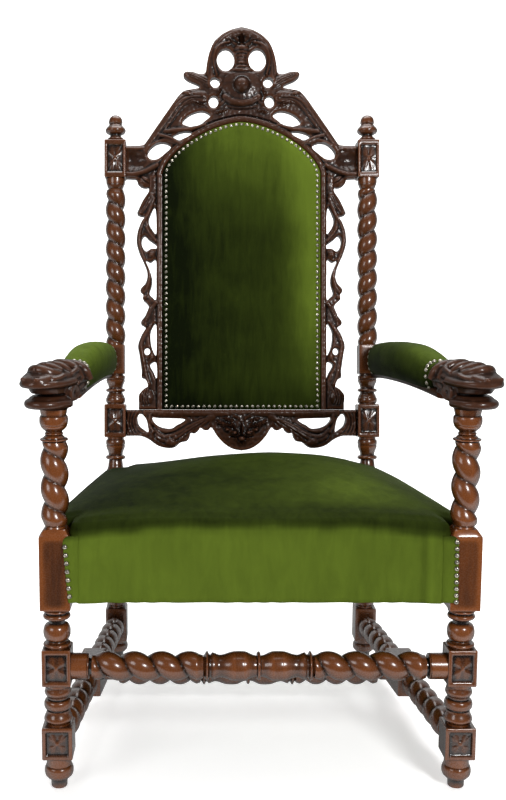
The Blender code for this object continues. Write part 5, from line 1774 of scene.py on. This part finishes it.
def panel_tones(points):
    """Painted shade at the left and foot, painted light at the head and down the right edge."""
    x = points[:, 0]
    up = (points[:, 2] - SEAT_BLOCK_TOP) / cos(RAKE)
    across = x / PANEL_HALF
    high = np.clip((up - 0.50) / 0.20, 0, 1)
    middle = np.clip(1.15 - (across - 0.15) ** 2, 0, 1)
    right = np.clip((across - 0.42) / 0.45, 0, 1) ** 1.3
    tone = 0.19 + 0.14 * across + 0.50 * high ** 1.3 * middle
    tone = tone + 0.66 * right * np.clip((up - 0.15) / 0.22, 0, 1)
    tone = tone - 0.10 * np.clip((-across - 0.45) / 0.4, 0, 1)
    tone = tone - 0.10 * np.clip((0.22 - up) / 0.09, 0, 1)
    return np.clip(tone, 0, 1)


# Nails

def nail_row(shell, points, outward, radius):
    """Domed heads at places, each facing its own way."""
    sides = 12
    for place, way in zip(points, outward):
        normal = Vector(way).normalized()
        across = normal.orthogonal().normalized()
        up = normal.cross(across)
        loops = []
        for share, lift in ((1.0, -0.30), (1.02, 0.02), (0.93, 0.30), (0.72, 0.55), (0.40, 0.74),
                            (0.10, 0.80)):
            loops.append([tuple(Vector(place) + normal * radius * lift
                                + (across * cos(tau * k / sides) + up * sin(tau * k / sides))
                                * radius * share) for k in range(sides)])
        shell.loops(loops)


def spaced(line, gap):
    """Points at an even spacing close to gap along a line."""
    line = np.asarray(line, float)
    steps = np.linalg.norm(np.diff(line, axis=0), axis=1)
    total = np.concatenate([[0], np.cumsum(steps)])
    count = max(2, int(round(total[-1] / gap)) + 1)
    at = np.linspace(0, total[-1], count)
    return np.column_stack([np.interp(at, total, line[:, k]) for k in range(line.shape[1])])


PANEL_NAIL_GAP = 0.0115
PANEL_NAIL_INSET = 0.0075
PANEL_NAIL_DEPTH = 0.0150


def panel_nails(sizes):
    """Nails round the panel: up one side, over its head, down the other and along its foot."""
    inset = PANEL_NAIL_INSET
    head = panel_arch(inset, 120)
    line = np.vstack([[(PANEL_HALF - inset, PANEL_FOOT + inset)], head,
                      [(-PANEL_HALF + inset, PANEL_FOOT + inset)]])
    foot = spaced([line[-1], line[0]], PANEL_NAIL_GAP)[1:-1]
    flat = np.vstack([spaced(line, PANEL_NAIL_GAP), foot])
    places = back_points(np.column_stack([flat, np.full(len(flat), PANEL_NAIL_DEPTH)]))
    way = (0, -cos(RAKE), sin(RAKE))
    shell = Shell()
    nail_row(shell, places, [way] * len(places), sizes.nail_radius)
    return shell


# Shares of the pad's length where its nails stand
PAD_NAIL_ROWS = (0.035, 0.982)


def pad_nails(side, sizes):
    """Nails over the two ends of an arm pad."""
    shell = Shell()
    for share in PAD_NAIL_ROWS:
        places = []
        ways = []
        for k in range(15):
            angle = radians(-50 + 280 * k / 14)
            foot = np.array(pad_point(share, angle, side, -0.0022))
            places.append(tuple(foot))
            ways.append(tuple(np.array(pad_point(share, angle, side, 0.010)) - foot))
        nail_row(shell, places, ways, sizes.nail_radius * 0.92)
    return shell


# Nails on the seat's edge at each side: how many, the top one's height and the lowest one's
SEAT_NAILS = {-1: (7, 0.4150, 0.3335), 1: (10, 0.4230, 0.3245)}


def seat_nails(side, sizes):
    """Nails down the velvet's edge on the front leg's block."""
    shell = Shell()
    count, top, low = SEAT_NAILS[side]
    places = []
    for k in range(count):
        z = top - (top - low) * k / (count - 1)
        over = flap_reach(side, (FLAP_TOP - z) / (FLAP_TOP - SEAT_FOOT)) - 0.0034
        places.append((side * (LEG_INNER + over), LEG_Y - 0.0280, z))
    nail_row(shell, places, [(0, -1, 0)] * count, sizes.nail_radius)
    return shell


# Operators

class ThroneOperator:
    bl_options = {"REGISTER"}

    @property
    def sizes(self):
        return bpy.context.scene.throne_sizes


class THRONE_OT_front_legs(ThroneOperator, bpy.types.Operator):
    """Turn the two front legs"""
    bl_idname = "throne.front_legs"
    bl_label = "Front legs"

    def execute(self, context):
        for name, side in SIDES:
            put_piece("front_leg_turned_" + name, front_leg(side, self.sizes),
                      turned_wood("upright", UPRIGHT), ["front_leg_" + name])
        return {"FINISHED"}


class THRONE_OT_rear_posts(ThroneOperator, bpy.types.Operator):
    """Turn the two rear posts"""
    bl_idname = "throne.rear_posts"
    bl_label = "Rear posts"

    def execute(self, context):
        for name, side in SIDES:
            put_piece("rear_post_turned_" + name, rear_post(side, self.sizes),
                      turned_wood("post", UPRIGHT), ["rear_post_" + name])
        return {"FINISHED"}


class THRONE_OT_stretchers(ThroneOperator, bpy.types.Operator):
    """Turn the four stretchers"""
    bl_idname = "throne.stretchers"
    bl_label = "Stretchers"

    def execute(self, context):
        wood = turned_wood("crosswise", CROSSWISE)
        low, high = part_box("front_stretcher")
        shell = cross_stretcher_shell(high.x, 0.036, 0.0215, LEG_Y, (low.z + high.z) / 2, self.sizes)
        put_piece("front_stretcher_turned", shell, wood, ["front_stretcher"])
        low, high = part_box("cross_stretcher")
        shell = cross_stretcher_shell(high.x, 0.028, 0.0150, (low.y + high.y) / 2,
                                      (low.z + high.z) / 2, self.sizes)
        put_piece("cross_stretcher_turned", shell, wood, ["cross_stretcher"])
        for name, side in SIDES:
            put_piece("side_stretcher_turned_" + name, side_stretcher_shell(side),
                      turned_wood("lengthwise", LENGTHWISE), ["side_stretcher_" + name])
        return {"FINISHED"}


class THRONE_OT_seat_rails(ThroneOperator, bpy.types.Operator):
    """Finish the seat rails under the velvet"""
    bl_idname = "throne.seat_rails"
    bl_label = "Seat rails"

    def execute(self, context):
        for name in ("front", "back", "left", "right"):
            grain = CROSSWISE if name in ("front", "back") else LENGTHWISE
            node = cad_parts["seat_rail_" + name]
            node.data.materials.clear()
            node.data.materials.append(carved_wood("rail_" + name, grain))
        return {"FINISHED"}


class THRONE_OT_carved_back(ThroneOperator, bpy.types.Operator):
    """Carve the crest, the scroll brackets and the lower rail"""
    bl_idname = "throne.carved_back"
    bl_label = "Carved back"

    def execute(self, context):
        wood = carved_wood("back", CROSSWISE)
        put_piece("crest_carved", crest_shell(self.sizes).moved(back_points), wood,
                  ["crest_rail"], 60)
        for name, side in SIDES:
            put_piece("back_stile_carved_" + name,
                      stile_shell(side, self.sizes).moved(back_points),
                      carved_wood("stile", UPRIGHT), ["back_stile_" + name], 60)
        put_piece("lower_rail_carved", rail_shell(self.sizes).moved(back_points), wood,
                  ["lower_back_rail"], 60)
        return {"FINISHED"}


class THRONE_OT_arms(ThroneOperator, bpy.types.Operator):
    """Carve the arms and their beast heads"""
    bl_idname = "throne.arms"
    bl_label = "Arms"

    def execute(self, context):
        for name, side in SIDES:
            shell = head_shell(side)
            board = arm_board(side)
            shell.add(np.concatenate(board.points), board.faces)
            put_piece("arm_carved_" + name, shell, carved_wood("arm", LENGTHWISE),
                      ["arm_" + name], 70)
        return {"FINISHED"}


class THRONE_OT_upholstery(ThroneOperator, bpy.types.Operator):
    """Stuff the seat, the back panel and the arm pads"""
    bl_idname = "throne.upholstery"
    bl_label = "Velvet"

    def execute(self, context):
        shell = seat_shell(self.sizes)
        for _, side in SIDES:
            flap = seat_flap(side)
            shell.add(np.concatenate(flap.points), flap.faces)
        seat = put_piece("seat_velvet", shell, velvet("seat", (1.0, 0.6, 0.25)),
                         ["seat_upholstery"], 0, seat_tones, False)
        panel = put_piece("back_panel_velvet", panel_shell(self.sizes).moved(back_points),
                          velvet("panel", (1.3, 1.0, 0.18)), ["back_panel"], 60,
                          panel_tones, False)
        for name, side in SIDES:
            pad = put_piece("arm_pad_velvet_" + name, pad_shell(side),
                            velvet("arm_" + name, (1.0, 0.5, 0.8)), ["arm_pad_" + name],
                            60, pad_tones(side), False)
        return {"FINISHED"}


class THRONE_OT_nails(ThroneOperator, bpy.types.Operator):
    """Set the rows of domed nails"""
    bl_idname = "throne.nails"
    bl_label = "Nails"

    def execute(self, context):
        metal = nail_metal()
        put_piece("nails_back_panel", panel_nails(self.sizes), metal, [], 60, None,
                  False)
        for name, side in SIDES:
            put_piece("nails_arm_pad_" + name, pad_nails(side, self.sizes), metal, [],
                      60, None, False)
            put_piece("nails_seat_" + name, seat_nails(side, self.sizes), metal, [],
                      60, None, False)
        return {"FINISHED"}


# Lights: name, place, what it is aimed at, and size
LIGHTS = (("key", (1.25, -2.9, 1.9), (0, 0, 0.7), 0.6),
          ("fill", (-2.2, -2.3, 1.5), (0, 0, 0.6), 1.2),
          ("top", (0.1, -0.3, 3.2), (0, 0, 0.7), 1.6),
          ("backdrop", (0.0, 1.0, 3.4), (0, 3.0, 0.6), 2.6))


class THRONE_OT_stage(ThroneOperator, bpy.types.Operator):
    """Set the floor, the lights and the camera"""
    bl_idname = "throne.stage"
    bl_label = "Stage"

    def execute(self, context):
        scene = bpy.context.scene
        stage = scene.throne_stage
        material, tree, shader = new_material("pale_floor")
        place = add_node(tree, "ShaderNodeTexCoord").outputs["Object"]
        tree.links.new(ramp(tree, noise(tree, place, 3.0), [(0.3, (0.84, 0.84, 0.835)),
                                                            (0.7, (0.87, 0.87, 0.865))]),
                       shader.inputs["Base Color"])
        shader.inputs["Roughness"].default_value = 0.9
        shader.inputs["Emission Color"].default_value = (1.0, 1.0, 1.0, 1.0)
        shader.inputs["Emission Strength"].default_value = stage.floor_glow
        shell = Shell()
        # the floor's line from its front edge back and up the backdrop
        line = [(-0.8, 0.0), (1.6, 0.0)]
        line += [(1.6 + 1.2 * sin(a), 1.2 - 1.2 * cos(a)) for a in np.linspace(0.1, pi / 2, 14)]
        line += [(2.8, 7.0)]
        points = [(x, y, z) for x in (-7.0, 7.0) for y, z in line]
        n = len(line)
        shell.add(points, [(k, k + 1, n + k + 1, n + k) for k in range(n - 1)])
        mesh = bpy.data.meshes.new("floor")
        mesh.from_pydata(np.concatenate(shell.points).tolist(), [], shell.faces)
        mesh.shade_smooth()
        mesh.materials.append(material)
        floor = bpy.data.objects.new("floor", mesh)
        scene.collection.objects.link(floor)

        powers = {"key": stage.key_power, "fill": stage.fill_power, "top": stage.fill_power * 0.5,
                  "backdrop": stage.backdrop_power}
        for name, at, aim, size in LIGHTS:
            light = bpy.data.lights.new(name, "AREA")
            light.size = size
            light.energy = powers[name]
            lamp = bpy.data.objects.new(name, light)
            lamp.location = at
            way = Vector(aim) - Vector(at)
            lamp.rotation_euler = way.to_track_quat("-Z", "Y").to_euler()
            scene.collection.objects.link(lamp)

        world = bpy.data.worlds.new("pale_surroundings")
        world.use_nodes = True
        background = world.node_tree.nodes["Background"]
        background.inputs["Color"].default_value = (1.0, 1.0, 1.0, 1.0)
        background.inputs["Strength"].default_value = stage.world_strength
        scene.world = world

        lens = bpy.data.cameras.new("camera")
        lens.lens = stage.lens
        lens.shift_x = stage.camera_shift
        camera = bpy.data.objects.new("camera", lens)
        camera.location = stage.camera_place
        camera.rotation_euler = (pi / 2 - stage.camera_pitch, 0, 0)
        scene.collection.objects.link(camera)
        scene.camera = camera
        scene.view_settings.view_transform = "Standard"
        return {"FINISHED"}


STEPS = (THRONE_OT_stage, THRONE_OT_front_legs, THRONE_OT_rear_posts, THRONE_OT_stretchers,
         THRONE_OT_seat_rails, THRONE_OT_carved_back, THRONE_OT_arms, THRONE_OT_upholstery,
         THRONE_OT_nails)
GROUPS = (("throne_sizes", ThroneSizes), ("throne_finish", ThroneFinish),
          ("throne_stage", ThroneStage))


class THRONE_PT_panel(bpy.types.Panel):
    """The throne's sizes, colours and steps"""
    bl_idname = "THRONE_PT_panel"
    bl_label = "Throne"
    bl_space_type = "VIEW_3D"
    bl_region_type = "UI"
    bl_category = "Throne"

    def draw(self, context):
        layout = self.layout
        for attribute, group in GROUPS:
            box = layout.box()
            for name in group.__annotations__:
                box.prop(getattr(context.scene, attribute), name)
        for step in STEPS:
            layout.operator(step.bl_idname)


def register():
    for _, group in GROUPS:
        bpy.utils.register_class(group)
    for step in STEPS:
        bpy.utils.register_class(step)
    bpy.utils.register_class(THRONE_PT_panel)
    for attribute, group in GROUPS:
        setattr(bpy.types.Scene, attribute, bpy.props.PointerProperty(type=group))


def unregister():
    for attribute, _ in GROUPS:
        delattr(bpy.types.Scene, attribute)
    bpy.utils.unregister_class(THRONE_PT_panel)
    for step in reversed(STEPS):
        bpy.utils.unregister_class(step)
    for _, group in reversed(GROUPS):
        bpy.utils.unregister_class(group)


def main():
    register()
    for step in STEPS:
        group, name = step.bl_idname.split(".")
        result = getattr(getattr(bpy.ops, group), name)()
        if result != {"FINISHED"}:
            raise RuntimeError(step.bl_label + " was not finished")


if __name__ == "__main__":
    main()
